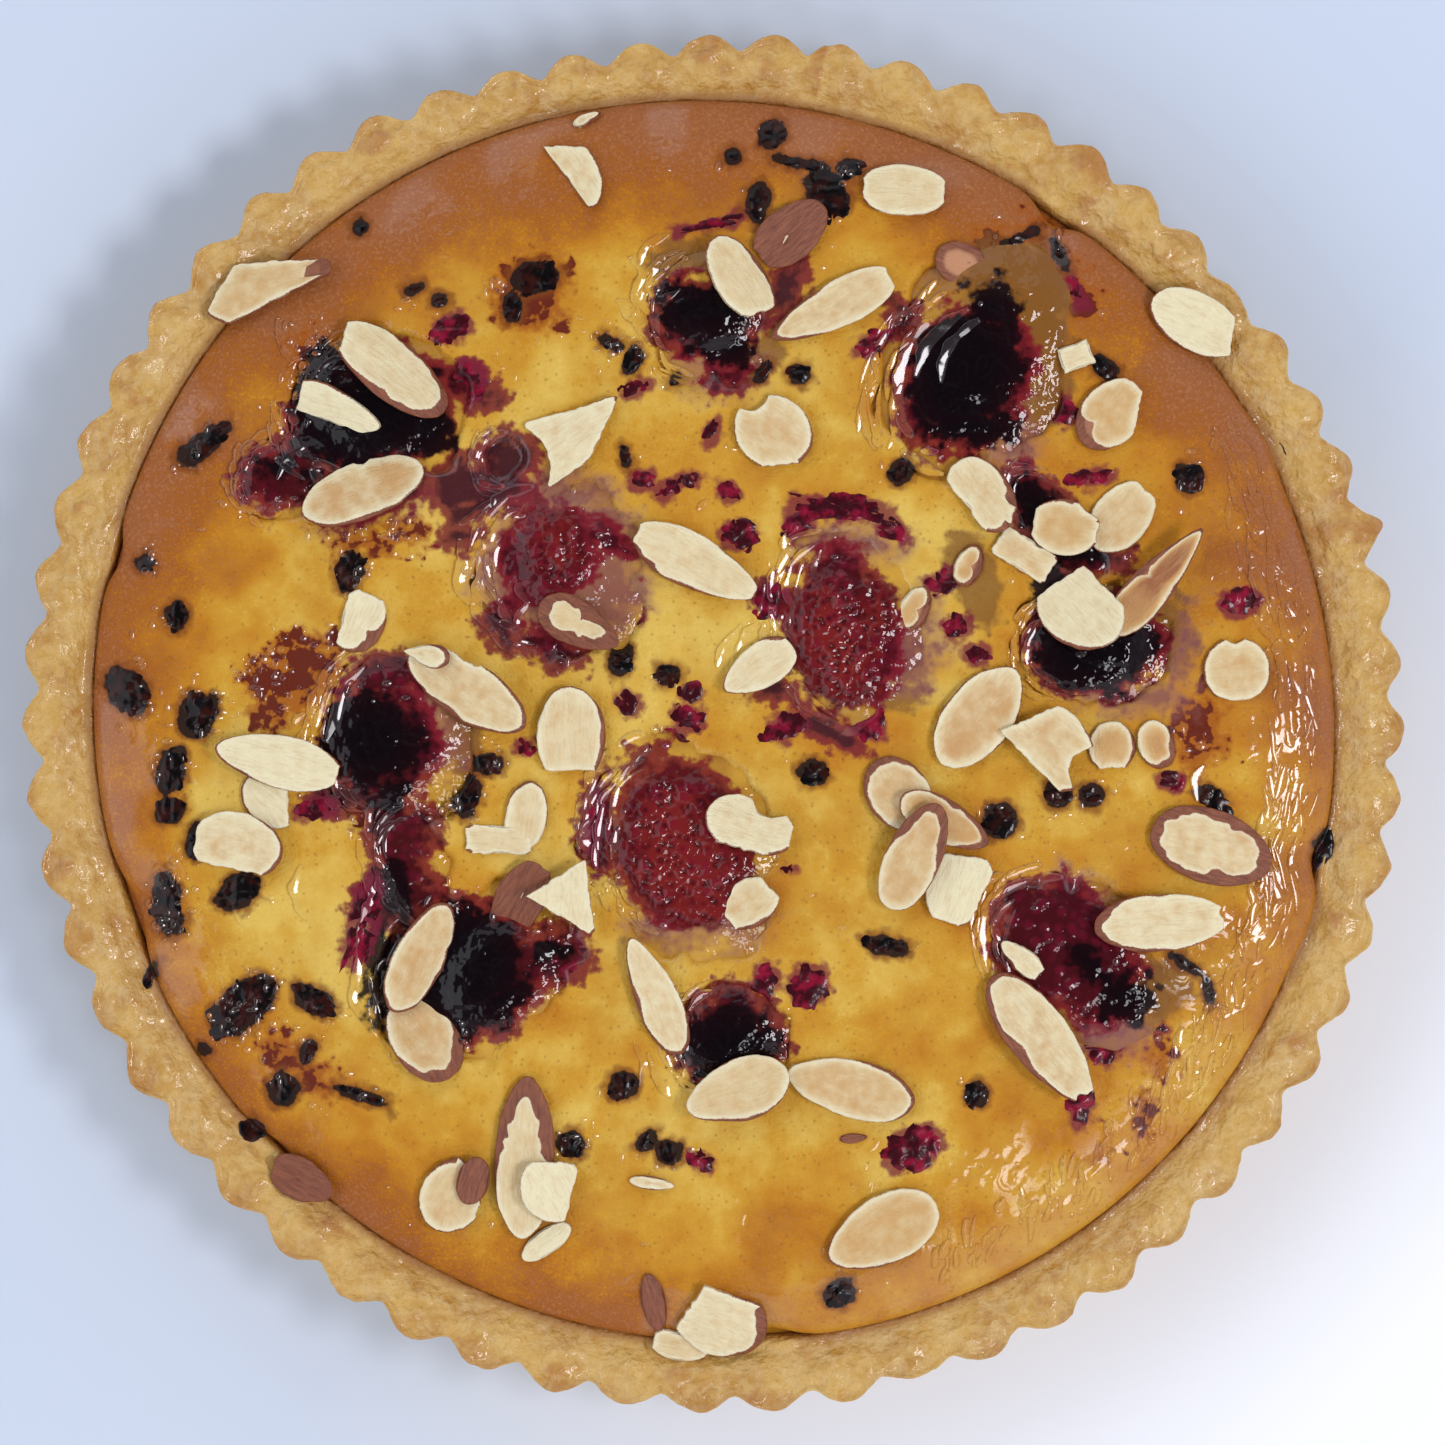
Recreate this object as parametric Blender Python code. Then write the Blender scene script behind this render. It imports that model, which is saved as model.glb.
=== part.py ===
"""A round frangipane tart: a fluted shortcrust case, a domed almond filling baked round
sunken berries, and sliced almonds lying on top.

Lengths in the tables are millimetres and MM turns them into the scene's metres. The tart
stands on z = 0 with its centre on the z axis. Angles are degrees, counter-clockwise from +X.
"""

import math

import bmesh
import bpy
import numpy as np
from mathutils import Matrix, Vector
from mathutils.bvhtree import BVHTree

MM = 0.001

# The case: a loose-base fluted tin of 25 cm across its crests.
RIM_RADIUS = 125.0
FOOT_RADIUS = 117.5
OVAL = 0.009
OVAL_ANGLE = 132.0
CASE_DENTS = ((103.0, 0.02, 14.0),)
FLUTES = 60
FLUTE_DEPTH = 3.1
FOOT_FLUTE_DEPTH = 2.0
FLUTE_SHIFT = 2.75
FLUTE_CROWDING = 3.2
CROWDING_ANGLE = 320.0
FLUTE_SHAPE = (1.0, 0.86, 0.1, 0.1, 0.86)
WEAK_FLUTES = {6: 0.45, 47: 0.5}
NUB_FLUTE, NUB_LENGTH = 2, 1.6
RIM_HEIGHT = 26.0
RIM_WAVES = ((3, 40.0, 0.5), (5, 110.0, 0.35), (11, 15.0, 0.3), (17, 70.0, 0.25))
CASE_FLOOR = 4.5

# The filling: edge radius, height of its lip over the rim, rise of its shoulder and dome.
FILL_RADIUS = 112.8
FILL_OVAL = 1.3
FILL_OVAL_ANGLE = 135.0
FILL_NOTCHES = (
    (56.0, 2.4, 2.2),
    (164.5, 1.7, 2.2),
    (198.0, 2.2, 4.0),
    (225.0, 1.6, 3.0),
    (275.0, 2.2, 3.0),
    (347.0, 2.0, 2.2),
)
FILL_LUMPS = ((27.0, 0.9, 3.0), (342.0, 0.9, 4.0))
LIP_HEIGHT = 24.4
SHOULDER_RISE = 6.8
SHOULDER_POWER = 7.0
DOME_RISE = 1.6
SWELLS = ((0.021, 0.013, 0.6, 0.45), (-0.017, 0.027, 2.1, 0.4), (0.034, -0.029, 4.0, 0.3))
FILL_RINGS = 18
FILL_SPACING = 1.12
LAST_RING = 0.98
GAP = 0.35

# Hollows that the fruit has sunk into: x, y, half length, half width, turn, depth.
HOLLOWS = (
    (-61.0, 56.0, 17.5, 14.0, 20.0, 4.6),
    (-78.0, 44.0, 9.0, 7.5, 20.0, 3.0),
    (-38.5, 47.0, 8.0, 7.0, 60.0, 3.0),
    (-27.5, 26.5, 16.0, 14.5, -60.0, 3.4),
    (-1.5, 73.0, 11.5, 13.0, 0.0, 4.8),
    (46.5, 63.5, 21.0, 16.0, 62.0, 5.0),
    (24.5, 17.0, 17.5, 13.5, -70.0, 3.2),
    (68.5, 14.0, 14.0, 10.5, 5.0, 4.8),
    (61.0, 36.0, 14.0, 5.5, -50.0, 2.2),
    (-5.5, -23.0, 20.0, 15.5, -62.0, 4.2),
    (-58.0, -2.5, 16.5, 14.5, 60.0, 4.8),
    (-54.0, -27.0, 12.0, 6.0, -65.0, 2.6),
    (-43.5, -45.5, 17.0, 15.0, 30.0, 5.0),
    (3.0, -57.5, 11.0, 10.0, 0.0, 4.6),
    (65.5, -43.0, 18.0, 13.5, -42.0, 4.4),
)

# Fruit that stands up in the hollows: x, y, length, width, height, turn, lobes round it.
BERRIES = {
    "strawberry_left": (-27.0, 29.5, 15.0, 13.5, 5.8, 100.0, 0),
    "strawberry_middle": (24.5, 16.5, 27.0, 19.5, 5.6, 108.0, 0),
    "strawberry_lower": (-5.0, -23.8, 31.0, 23.0, 6.0, 115.0, 0),
    "dark_berry_top": (-1.5, 76.0, 17.0, 14.5, 6.4, 5.0, 7),
    "dark_berry_right": (47.5, 65.5, 32.0, 23.0, 6.2, 62.0, 9),
    "dark_berry_left": (-61.5, 58.5, 20.0, 14.5, 7.0, -40.0, 7),
    "red_berry_left": (-78.0, 44.0, 13.5, 10.5, 5.4, 20.0, 7),
    "dark_berry_centre": (67.0, 12.0, 17.5, 13.0, 7.0, 10.0, 7),
    "dark_berry_middle_left": (-57.5, -1.6, 23.0, 19.0, 7.4, 60.0, 9),
    "dark_berry_lower_left": (-38.5, -46.5, 16.5, 14.5, 7.4, 80.0, 7),
    "red_berry_low": (3.2, -56.0, 15.4, 13.2, 6.4, 0.0, 7),
    "red_berry_right": (65.0, -42.5, 29.0, 19.0, 5.6, -42.0, 9),
}
LARGE_BERRY = 22.0
LOBE_HEIGHT = 0.07

# Almond slices. x, y, turn of the long axis, length, width, tip (0 round, 1 pointed at the
# far end), breaks (direction in the slice's own frame, distance from its middle), bites
# (along, across, radius). The first slices lie lowest.
SLICES = {
    "almond_02": (34.1, 95.8, -2, 16.4, 9.4, 0.0, ((180, 7.4), (0, 7.5)), ()),
    "almond_03": (13.8, 88.0, 40, 15.6, 10.2, 0.1, ((180, 7.0),), ()),
    "almond_04": (4.5, 79.6, -56, 17.6, 10.0, 0.0, ((0, 7.4), (-35, 6.8)), ((8.2, -1.2, 1.5),)),
    "almond_05": (21.6, 74.8, 207, 25.0, 9.8, 0.45, ((180, 11.6),), ()),
    "almond_07": (87.3, 72.2, -27, 18.6, 10.4, 0.0, ((18, 6.8),), ()),
    "almond_09": (71.8, 55.5, 48, 15.0, 11.2, 0.1, ((0, 6.6), (-60, 4.6)), ((2.0, -6.6, 1.8),)),
    "almond_10": (-80.9, 78.9, 14, 25.0, 15.0, 0.35, ((78, 4.0), (-79, 3.6), (137, 7.2)), ()),
    "almond_11": (-58.4, 63.3, -38, 24.8, 11.6, 0.0, ((-159, 10.2),), ()),
    "almond_12": (-68.6, 56.4, -18, 19.0, 9.6, 0.5, ((180, 6.6), (-90, 2.2)), ((3.5, -8.6, 6.6),)),
    "almond_13": (-63.1, 41.4, 22, 23.4, 11.4, 0.1, (), ((1.6, 6.6, 1.9),)),
    "almond_14": (-24.7, 51.0, 34, 21.0, 19.0, 0.0, ((72, 5.3), (-58, 3.9), (-90, 4.6)), ((-14.0, 2.6, 8.4),)),
    "almond_15": (10.7, 52.1, -35, 14.6, 13.0, 0.0, ((-50, 6.0),), ((-7.4, 3.4, 3.2),)),
    "almond_16": (48.3, 40.6, -52, 15.4, 11.4, 0.1, ((-90, 3.5), (35, 6.6)), ()),
    "almond_17": (63.5, 35.0, -10, 13.0, 10.2, 0.0, ((180, 5.8), (0, 6.0), (60, 4.8)), ()),
    "almond_20": (79.6, 25.2, 49, 25.0, 9.6, 0.6, (), ()),
    "almond_21": (66.2, 20.3, -45, 17.8, 14.6, 0.0, ((169, 6.2), (88, 5.7)), ()),
    "almond_22": (-3.3, 28.5, -27, 25.0, 11.0, 0.35, ((180, 11.8), (0, 11.8)), ()),
    "almond_25": (-24.3, 17.4, -28, 16.4, 9.8, 0.45, (), ()),
    "almond_26": (8.0, 9.6, 213, 15.4, 9.2, 0.4, ((180, 7.0),), ()),
    "almond_28": (-44.3, 5.6, -32, 24.6, 10.6, 0.0, (), ((-3.0, 11.0, 6.6),)),
    "almond_29": (-25.8, -2.7, 90, 18.0, 12.4, 0.0, ((180, 6.2),), ()),
    "almond_30": (47.7, 0.7, 52, 21.4, 12.8, 0.1, (), ()),
    "almond_31": (59.5, -4.4, -38, 20.0, 15.0, 0.0, ((152, 5.7), (-98, 3.9)), ((10.0, 1.6, 4.4),)),
    "almond_35": (-78.7, -7.3, 168, 23.0, 10.6, 0.3, ((180, 11.0),), ()),
    "almond_37": (-86.0, -22.5, -10, 16.4, 12.4, 0.0, ((-93, 4.2), (180, 7.7)), ()),
    "almond_39": (6.2, -19.0, -15, 17.0, 11.0, 0.0, ((90, 5.0), (-90, 4.6), (0, 7.8)), ((3.0, 6.2, 3.8),)),
    "almond_42": (-34.8, -31.7, 60, 16.4, 9.0, 0.0, ((0, 7.2),), ()),
    "almond_41": (-26.8, -31.9, 90, 15.8, 15.4, 0.0, ((31, 4.1), (149, 3.4), (-82, 4.4)), ()),
    "almond_43": (33.2, -13.0, -52, 14.4, 11.2, 0.0, (), ()),
    "almond_44": (41.5, -18.0, -28, 18.4, 8.8, 0.3, (), ()),
    "almond_46": (44.2, -29.8, 70, 15.0, 11.6, 0.0, ((-93, 4.5), (10, 5.6), (180, 6.8)), ()),
    "almond_45": (36.1, -24.3, 65, 21.4, 10.2, 0.1, (), ()),
    "almond_47": (89.8, -22.7, -17, 23.2, 14.2, 0.15, (), ()),
    "almond_48": (80.5, -36.3, 4, 24.0, 10.8, 0.1, ((0, 11.2),), ((12.2, 1.2, 1.6),)),
    "almond_50": (58.6, -57.3, -52, 28.6, 12.0, 0.2, ((0, 13.2),), ((13.8, -1.0, 1.5),)),
    "almond_52": (-52.4, -57.5, -58, 17.4, 12.8, 0.0, (), ()),
    "almond_51": (-53.3, -42.6, 62, 22.0, 9.8, 0.05, (), ()),
    "almond_53": (-10.5, -49.7, 114, 23.4, 9.2, 0.45, (), ()),
    "almond_54": (4.2, -66.8, 200, 19.4, 12.6, 0.35, (), ()),
    "almond_55": (24.7, -66.2, 166, 23.0, 11.8, 0.3, (), ()),
    "almond_56": (30.5, -92.0, 208, 22.0, 13.8, 0.3, (), ()),
    "almond_57": (-34.2, -78.7, 88, 29.2, 11.4, 0.1, (), ()),
    "almond_58": (-29.4, -84.2, -60, 13.0, 11.6, 0.0, ((144, 4.8), (45, 3.8)), ()),
    "almond_60": (-47.0, -85.6, 60, 14.4, 11.6, 0.0, ((0, 6.4), (-75, 5.0)), ()),
    "almond_62": (-74.6, -82.9, -22, 13.0, 8.8, 0.2, ((180, 5.8),), ()),
    "almond_65": (1.1, -107.9, -25, 18.0, 14.4, 0.0, ((175, 6.1), (92, 5.3)), ()),
}

# Smaller almond bits, baked on to the filling.
BAKED_ON = {
    "almond_01": (-25.6, 98.7, -54, 15.0, 11.4, 0.35, ((-90, 1.2), (144, 5.2)), ()),
    "almond_06": (44.6, 82.7, -20, 9.6, 7.8, 0.0, (), ()),
    "almond_08": (65.3, 65.9, 20, 9.0, 8.0, 0.0, ((0, 2.9), (180, 2.9), (90, 2.2), (-90, 2.4)), ()),
    "almond_18": (73.5, 36.8, 48, 15.0, 10.4, 0.1, ((0, 6.6),), ()),
    "almond_19": (56.0, 29.9, -32, 13.0, 9.0, 0.0, ((0, 5.6), (180, 5.6), (90, 2.8), (-90, 2.8)), ()),
    "almond_24": (36.3, 20.3, 62, 8.8, 6.0, 0.2, (), ()),
    "almond_27": (-64.0, 18.1, 65, 12.0, 9.4, 0.0, ((100, 3.0), (0, 5.2)), ()),
    "almond_32": (71.8, -4.7, 90, 9.2, 8.6, 0.0, ((180, 3.8),), ()),
    "almond_33": (79.8, -4.2, 110, 9.2, 6.8, 0.0, (), ()),
    "almond_34": (94.3, 9.3, 0, 12.4, 11.6, 0.0, (), ((-0.4, 7.2, 2.4),)),
    "almond_36": (-80.2, -14.3, -45, 11.4, 9.0, 0.0, ((45, 3.4),), ()),
    "almond_38": (-38.8, -21.4, -2, 14.4, 7.0, 0.0, ((0, 6.0), (180, 6.0), (90, 2.5), (-90, 2.6)), ()),
    "almond_38b": (-33.9, -17.2, 80, 12.8, 7.6, 0.0, ((180, 6.0),), ()),
    "almond_40": (6.7, -32.8, 40, 11.4, 8.6, 0.0, ((0, 4.6), (180, 5.0)), ()),
    "almond_49": (55.5, -43.0, 140, 9.8, 5.2, 0.4, ((180, 4.2),), ()),
    "almond_59": (-30.3, -94.1, 36, 10.6, 4.6, 0.0, (), ()),
    "almond_64": (-10.9, -105.0, -80, 11.0, 4.4, 0.0, (), ()),
}

# Fruit skins and pips baked hard on to the filling: x, y, length, width, height, turn.
BAKED_LUMPS = (
    (20.1, 95.4, 9.0, 7.5, 4.0, -60.0),
    (16.9, -47.9, 8.8, 7.6, 3.4, 80.0),
    (9.3, -47.0, 6.6, 5.2, 3.0, 70.0),
    (35.9, -77.3, 11.0, 8.0, 3.4, 35.0),
    (-85.1, -51.5, 14.0, 8.6, 3.2, 42.0),
    (-99.0, -33.0, 11.6, 6.4, 2.6, 100.0),
    (-106.5, 5.5, 9.0, 7.0, 2.6, -50.0),
    (95.5, 21.5, 8.6, 5.4, 2.8, 10.0),
)

SLICE_THICKNESS = 1.4
SLICE_POINTS = 14
BIT_POINTS = 10
OUTLINE_SAMPLES = 120
ROOT_DEPTH = 3.0
ROOT_SINK = 0.4
STEEPEST = 0.42
SAMPLE_STEP = 0.6
FAR = 200.0

SHARP = math.radians(50.0)

COLOURS = {
    "baked_crust": ((0.694, 0.423, 0.127), 0.55),
    "frangipane": ((0.672, 0.352, 0.071), 0.35),
    "almond_flesh": ((0.830, 0.693, 0.423), 0.6),
    "almond_skin": ((0.191, 0.072, 0.036), 0.7),
    "red_fruit": ((0.235, 0.012, 0.020), 0.2),
    "dark_fruit": ((0.020, 0.006, 0.014), 0.15),
}
SKIN_UP = ("almond_03", "almond_25", "almond_42", "almond_62")


def wave(angle, waves):
    """The sum of amplitude * cos(count * (angle - phase)) over the waves."""
    return sum(height * math.cos(math.radians(count * (angle - phase))) for count, phase, height in waves)


def dent(angle, notches):
    """How deep a bell-shaped notch is at an angle: the sum over (angle, depth, half width)."""
    total = 0.0
    for middle, depth, half_width in notches:
        away = (angle - middle + 180.0) % 360.0 - 180.0
        total += depth * math.exp(-((away / half_width) ** 2))
    return total


def case_scale(angle):
    """The case is a little oval, with a flat stretch: its radius is scaled by this much."""
    return 1.0 + OVAL * math.cos(math.radians(2.0 * (angle - OVAL_ANGLE))) - dent(angle, CASE_DENTS)


def flute_angle(index):
    """The angle of point index of the fluted outline, where each flute has five points."""
    even = 360.0 * index / (FLUTES * len(FLUTE_SHAPE)) + FLUTE_SHIFT
    angle = even
    for _ in range(4):
        angle = even + FLUTE_CROWDING * math.cos(math.radians(angle - CROWDING_ANGLE))
    return angle


def flute_rise(index):
    """How far point index stands out of the valley circle, from 0 to about 1."""
    flute, place = divmod(index, len(FLUTE_SHAPE))
    nearest = (flute + (place > 2)) % FLUTES
    rise = FLUTE_SHAPE[place] * WEAK_FLUTES.get(nearest, 1.0)
    return rise + (NUB_LENGTH / FLUTE_DEPTH if nearest == NUB_FLUTE and place == 0 else 0.0)


def case_inside(angle):
    """The radius of the case's inner wall at its top."""
    return FILL_RADIUS - 1.0 + FILL_OVAL * math.cos(math.radians(2.0 * (angle - FILL_OVAL_ANGLE)))


def fill_edge(angle):
    """The radius of the filling's lip, a little over the inner wall, with its notches and lumps."""
    return case_inside(angle) + 1.0 - dent(angle, FILL_NOTCHES) + dent(angle, FILL_LUMPS)


def hollow_depth(x, y):
    """How far the fruit hollows lower the filling at x, y: flat floors with steep sides."""
    deepest = 0.0
    for middle_x, middle_y, half_length, half_width, turn, depth in HOLLOWS:
        cos, sin = math.cos(math.radians(turn)), math.sin(math.radians(turn))
        along = ((x - middle_x) * cos + (y - middle_y) * sin) / half_length
        across = ((y - middle_y) * cos - (x - middle_x) * sin) / half_width
        share = min(1.0, max(0.0, (1.12 - math.hypot(along, across)) / 0.5))
        deepest = max(deepest, depth * share * share * (3.0 - 2.0 * share))
    return deepest


def fill_height(x, y):
    """The height of the filling's top: a rounded shoulder, a low dome, swells and hollows."""
    angle = math.degrees(math.atan2(y, x))
    out = min(1.0, math.hypot(x, y) / fill_edge(angle))
    shoulder = SHOULDER_RISE * math.sqrt(max(0.0, 1.0 - out**SHOULDER_POWER))
    dome = DOME_RISE * (1.0 - out * out)
    swell = sum(high * math.sin(a * x + b * y + phase) for a, b, phase, high in SWELLS)
    return LIP_HEIGHT + shoulder + dome + (swell - hollow_depth(x, y)) * (1.0 - out**12)


def material(name):
    """A Principled material of the named food."""
    colour, roughness = COLOURS[name]
    made = bpy.data.materials.get(name) or bpy.data.materials.new(name)
    made.use_nodes = True
    shader = made.node_tree.nodes["Principled BSDF"]
    shader.inputs["Base Color"].default_value = (*colour, 1.0)
    shader.inputs["Roughness"].default_value = roughness
    shader.inputs["Metallic"].default_value = 0.0
    made.diffuse_color = (*colour, 1.0)
    return made


def add_object(name, bm, material_name, collection, smooth=False):
    """Turns a bmesh in millimetres into a named object in metres and frees it."""
    bmesh.ops.scale(bm, vec=(MM, MM, MM), verts=bm.verts)
    bmesh.ops.recalc_face_normals(bm, faces=bm.faces)
    mesh = bpy.data.meshes.new(name)
    bm.to_mesh(mesh)
    bm.free()
    mesh.materials.append(material(material_name))
    if smooth:
        mesh.shade_smooth()
        mesh.set_sharp_from_angle(angle=SHARP)
    made = bpy.data.objects.new(name, mesh)
    collection.objects.link(made)
    return made


def extrude_rim(bm, place):
    """Extrudes the open rim once and puts each new point where place(angle) says."""
    rim = [edge for edge in bm.edges if edge.is_boundary]
    grown = bmesh.ops.extrude_edge_only(bm, edges=rim)["geom"]
    for vert in (item for item in grown if isinstance(item, bmesh.types.BMVert)):
        angle = math.degrees(math.atan2(vert.co.y, vert.co.x)) % 360.0
        radius, height = place(angle)
        direction = Vector((math.cos(math.radians(angle)), math.sin(math.radians(angle)), 0.0))
        vert.co = direction * radius + Vector((0.0, 0.0, height))


def close_rim(bm):
    """Closes the open rim with a fan of triangles round its middle."""
    rim = [edge for edge in bm.edges if edge.is_boundary]
    filled = bmesh.ops.edgeloop_fill(bm, edges=rim)["faces"]
    bmesh.ops.poke(bm, faces=filled)


def build_crust(collection):
    """The fluted case, extruded row by row from its round foot."""
    points = FLUTES * len(FLUTE_SHAPE)
    bm = bmesh.new()
    bmesh.ops.create_circle(bm, cap_ends=True, cap_tris=True, segments=points, radius=1.0)
    rises = {}
    outer = [vert for vert in bm.verts if vert.co.xy.length > 0.5]
    for vert in outer:
        index = round(math.degrees(math.atan2(vert.co.y, vert.co.x)) * points / 360.0) % points
        angle = math.radians(flute_angle(index))
        rises[round(math.degrees(angle) % 360.0, 2)] = flute_rise(index)
        vert.co = Vector((math.cos(angle), math.sin(angle), 0.0)) * FOOT_RADIUS

    keys = np.array(sorted(rises))

    def rise_at(angle):
        return rises[float(keys[np.argmin(abs((keys - angle + 180.0) % 360.0 - 180.0))])]

    def outside(radius, depth, height):
        def place(angle):
            out = (radius - depth * (1.0 - rise_at(angle))) * case_scale(angle)
            return out, height + wave(angle, RIM_WAVES) * height / RIM_HEIGHT

        return place

    def inside(share, drop):
        def place(angle):
            lip = (RIM_RADIUS - FLUTE_DEPTH) * case_scale(angle)
            inner = case_inside(angle)
            flute = 0.7 * share * (rise_at(angle) - 0.5)
            return inner + share * (lip - inner), RIM_HEIGHT - drop + flute + share * wave(angle, RIM_WAVES)

        return place

    for vert in outer:
        angle = math.degrees(math.atan2(vert.co.y, vert.co.x)) % 360.0
        radius, _ = outside(FOOT_RADIUS - 0.8, FOOT_FLUTE_DEPTH, 0.0)(angle)
        vert.co = vert.co.normalized() * radius
    extrude_rim(bm, outside(FOOT_RADIUS, FOOT_FLUTE_DEPTH, 1.2))
    extrude_rim(bm, outside(RIM_RADIUS, FLUTE_DEPTH, RIM_HEIGHT - 1.6))
    extrude_rim(bm, outside(RIM_RADIUS - 1.4, FLUTE_DEPTH - 0.6, RIM_HEIGHT))
    extrude_rim(bm, inside(0.66, -0.1))
    extrude_rim(bm, inside(0.3, 1.8))
    extrude_rim(bm, lambda angle: (case_inside(angle), RIM_HEIGHT - 3.4))
    extrude_rim(bm, lambda angle: (case_inside(angle) - 4.0, CASE_FLOOR))
    close_rim(bm)
    return add_object("crust", bm, "baked_crust", collection, smooth=True)


def build_frangipane(collection):
    """The filling: a six-sided fan cut into rings, rounded out, raised, and closed below."""
    bm = bmesh.new()
    bmesh.ops.create_circle(bm, cap_ends=True, cap_tris=True, segments=6, radius=1.0)
    bmesh.ops.subdivide_edges(bm, edges=bm.edges, cuts=FILL_RINGS - 1, use_grid_fill=True)
    for vert in bm.verts:
        angle = math.atan2(vert.co.y, vert.co.x)
        start = math.pi / 6.0
        sector = math.floor((angle - start) / (math.pi / 3.0))
        first = start + sector * math.pi / 3.0
        ring = vert.co.xy.length * math.cos(angle - first - math.pi / 6.0) / math.cos(math.pi / 6.0)
        if ring < 1e-6:
            vert.co = Vector((0.0, 0.0, fill_height(0.0, 0.0)))
            continue
        along = 0.5 + math.tan(angle - first - math.pi / 6.0) / (2.0 * math.tan(math.pi / 6.0))
        even = math.degrees(first) + 60.0 * along
        out = 1.0 - max(0.0, 1.0 - ring) ** FILL_SPACING
        radius = LAST_RING * out * fill_edge(even % 360.0)
        x, y = radius * math.cos(math.radians(even)), radius * math.sin(math.radians(even))
        vert.co = Vector((x, y, fill_height(x, y)))
    extrude_rim(bm, lambda angle: (fill_edge(angle) - 0.3, LIP_HEIGHT + 1.6))
    extrude_rim(bm, lambda angle: (fill_edge(angle) - 0.4, LIP_HEIGHT - 0.2))
    extrude_rim(bm, lambda angle: (case_inside(angle) - GAP, RIM_HEIGHT - 3.0))
    extrude_rim(bm, lambda angle: (case_inside(angle) - 4.0 - GAP, CASE_FLOOR + GAP))
    close_rim(bm)
    return add_object("frangipane", bm, "frangipane", collection, smooth=True)


def slice_outline(length, width, tip, breaks, bites):
    """The closed outline of an almond slice, about its middle: an oval narrowed towards its
    tip, cut back radially by straight breaks and by round bites."""
    turn = np.linspace(0.0, 2.0 * math.pi, OUTLINE_SAMPLES, endpoint=False)
    across = 0.5 * width * np.sin(turn) * (1.0 - tip * ((1.0 + np.cos(turn)) / 2.0) ** 1.5)
    outline = np.stack([0.5 * length * np.cos(turn), across], axis=1)
    for direction, distance in breaks:
        normal = np.array([math.cos(math.radians(direction)), math.sin(math.radians(direction))])
        reach = outline @ normal
        outline = outline * np.where(reach > distance, distance / np.maximum(reach, 1e-6), 1.0)[:, None]
    for along, side, radius in bites:
        size = np.linalg.norm(outline, axis=1)
        middle = (outline @ np.array([along, side])) / size
        inside = radius**2 - (along**2 + side**2) + middle**2
        near = middle - np.sqrt(np.maximum(inside, 0.0))
        bitten = (inside > 0.0) & (near > 0.0) & (near < size)
        outline = outline * np.where(bitten, near / size, 1.0)[:, None]
    return outline


def fewer_points(outline, count):
    """Drops the points that matter least, one at a time, until count are left."""
    points = list(outline)
    while len(points) > count:
        areas = []
        for place, point in enumerate(points):
            before = points[place - 1] - point
            after = points[(place + 1) % len(points)] - point
            areas.append(abs(before[0] * after[1] - before[1] * after[0]))
        points.pop(int(np.argmin(areas)))
    return points


def slice_mesh(shape, count, root):
    """A bmesh of a flat slice from its outline: top at its thickness, bottom at -root."""
    outline = fewer_points(slice_outline(*shape), count)
    bm = bmesh.new()
    bmesh.ops.create_circle(bm, cap_ends=True, segments=count, radius=1.0)
    bm.verts.ensure_lookup_table()
    ordered = sorted(bm.verts, key=lambda vert: math.atan2(vert.co.y, vert.co.x))
    outline.sort(key=lambda point: math.atan2(point[1], point[0]))
    for vert, point in zip(ordered, outline):
        vert.co = Vector((point[0], point[1], -root))
    top = bmesh.ops.extrude_face_region(bm, geom=list(bm.faces))["geom"]
    for vert in (item for item in top if isinstance(item, bmesh.types.BMVert)):
        vert.co.z = SLICE_THICKNESS
    return bm


def surface(made):
    """A search tree of an object's mesh where it stands, in millimetres."""
    to_mm = Matrix.Scale(1.0 / MM, 4) @ made.matrix_world
    points = [to_mm @ vert.co for vert in made.data.vertices]
    return BVHTree.FromPolygons(points, [tuple(face.vertices) for face in made.data.polygons])


def heights(tree, places, upwards):
    """The height at which a ray from below, or from above, meets the tree at each place. A ray
    that meets nothing counts as FAR up, or FAR down."""
    way = 1.0 if upwards else -1.0
    found = []
    for x, y in places:
        hit = tree.ray_cast(Vector((x, y, -way * FAR)), Vector((0.0, 0.0, way)))[0]
        found.append(way * FAR if hit is None else hit.z)
    return np.array(found)


def settle(made, supports, x, y, turn, reach, gap, level=False):
    """Lays an object on what is under it: turned, tilted to the mean slope, and lowered until
    the gap is all that is left."""
    steps = np.arange(-reach, reach + SAMPLE_STEP, SAMPLE_STEP)
    places = [(x + a, y + b) for a in steps for b in steps if math.hypot(a, b) <= reach]
    ground = np.max([heights(tree, places, False) for tree in supports], axis=0)
    spin = Matrix.Rotation(math.radians(turn), 4, "Z")
    made.matrix_world = Matrix.Translation(Vector((x, y, 0.0)) * MM) @ spin
    under = heights(surface(made), places, True)
    tilt = Matrix.Identity(4)
    if not level:
        covered = (under < FAR) & (ground > -FAR)
        table = np.array([(a - x, b - y, 1.0) for a, b in places])
        slope_x, slope_y, _ = np.linalg.lstsq(table[covered], ground[covered], rcond=None)[0]
        steep = max(1.0, math.hypot(slope_x, slope_y) / STEEPEST)
        normal = Vector((-slope_x / steep, -slope_y / steep, 1.0)).normalized()
        tilt = Vector((0.0, 0.0, 1.0)).rotation_difference(normal).to_matrix().to_4x4()
        made.matrix_world = Matrix.Translation(Vector((x, y, 0.0)) * MM) @ tilt @ spin
        under = heights(surface(made), places, True)
    lift = float(np.max(ground - under)) + gap
    made.matrix_world = Matrix.Translation(Vector((x, y, lift)) * MM) @ tilt @ spin
    return made


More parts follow.
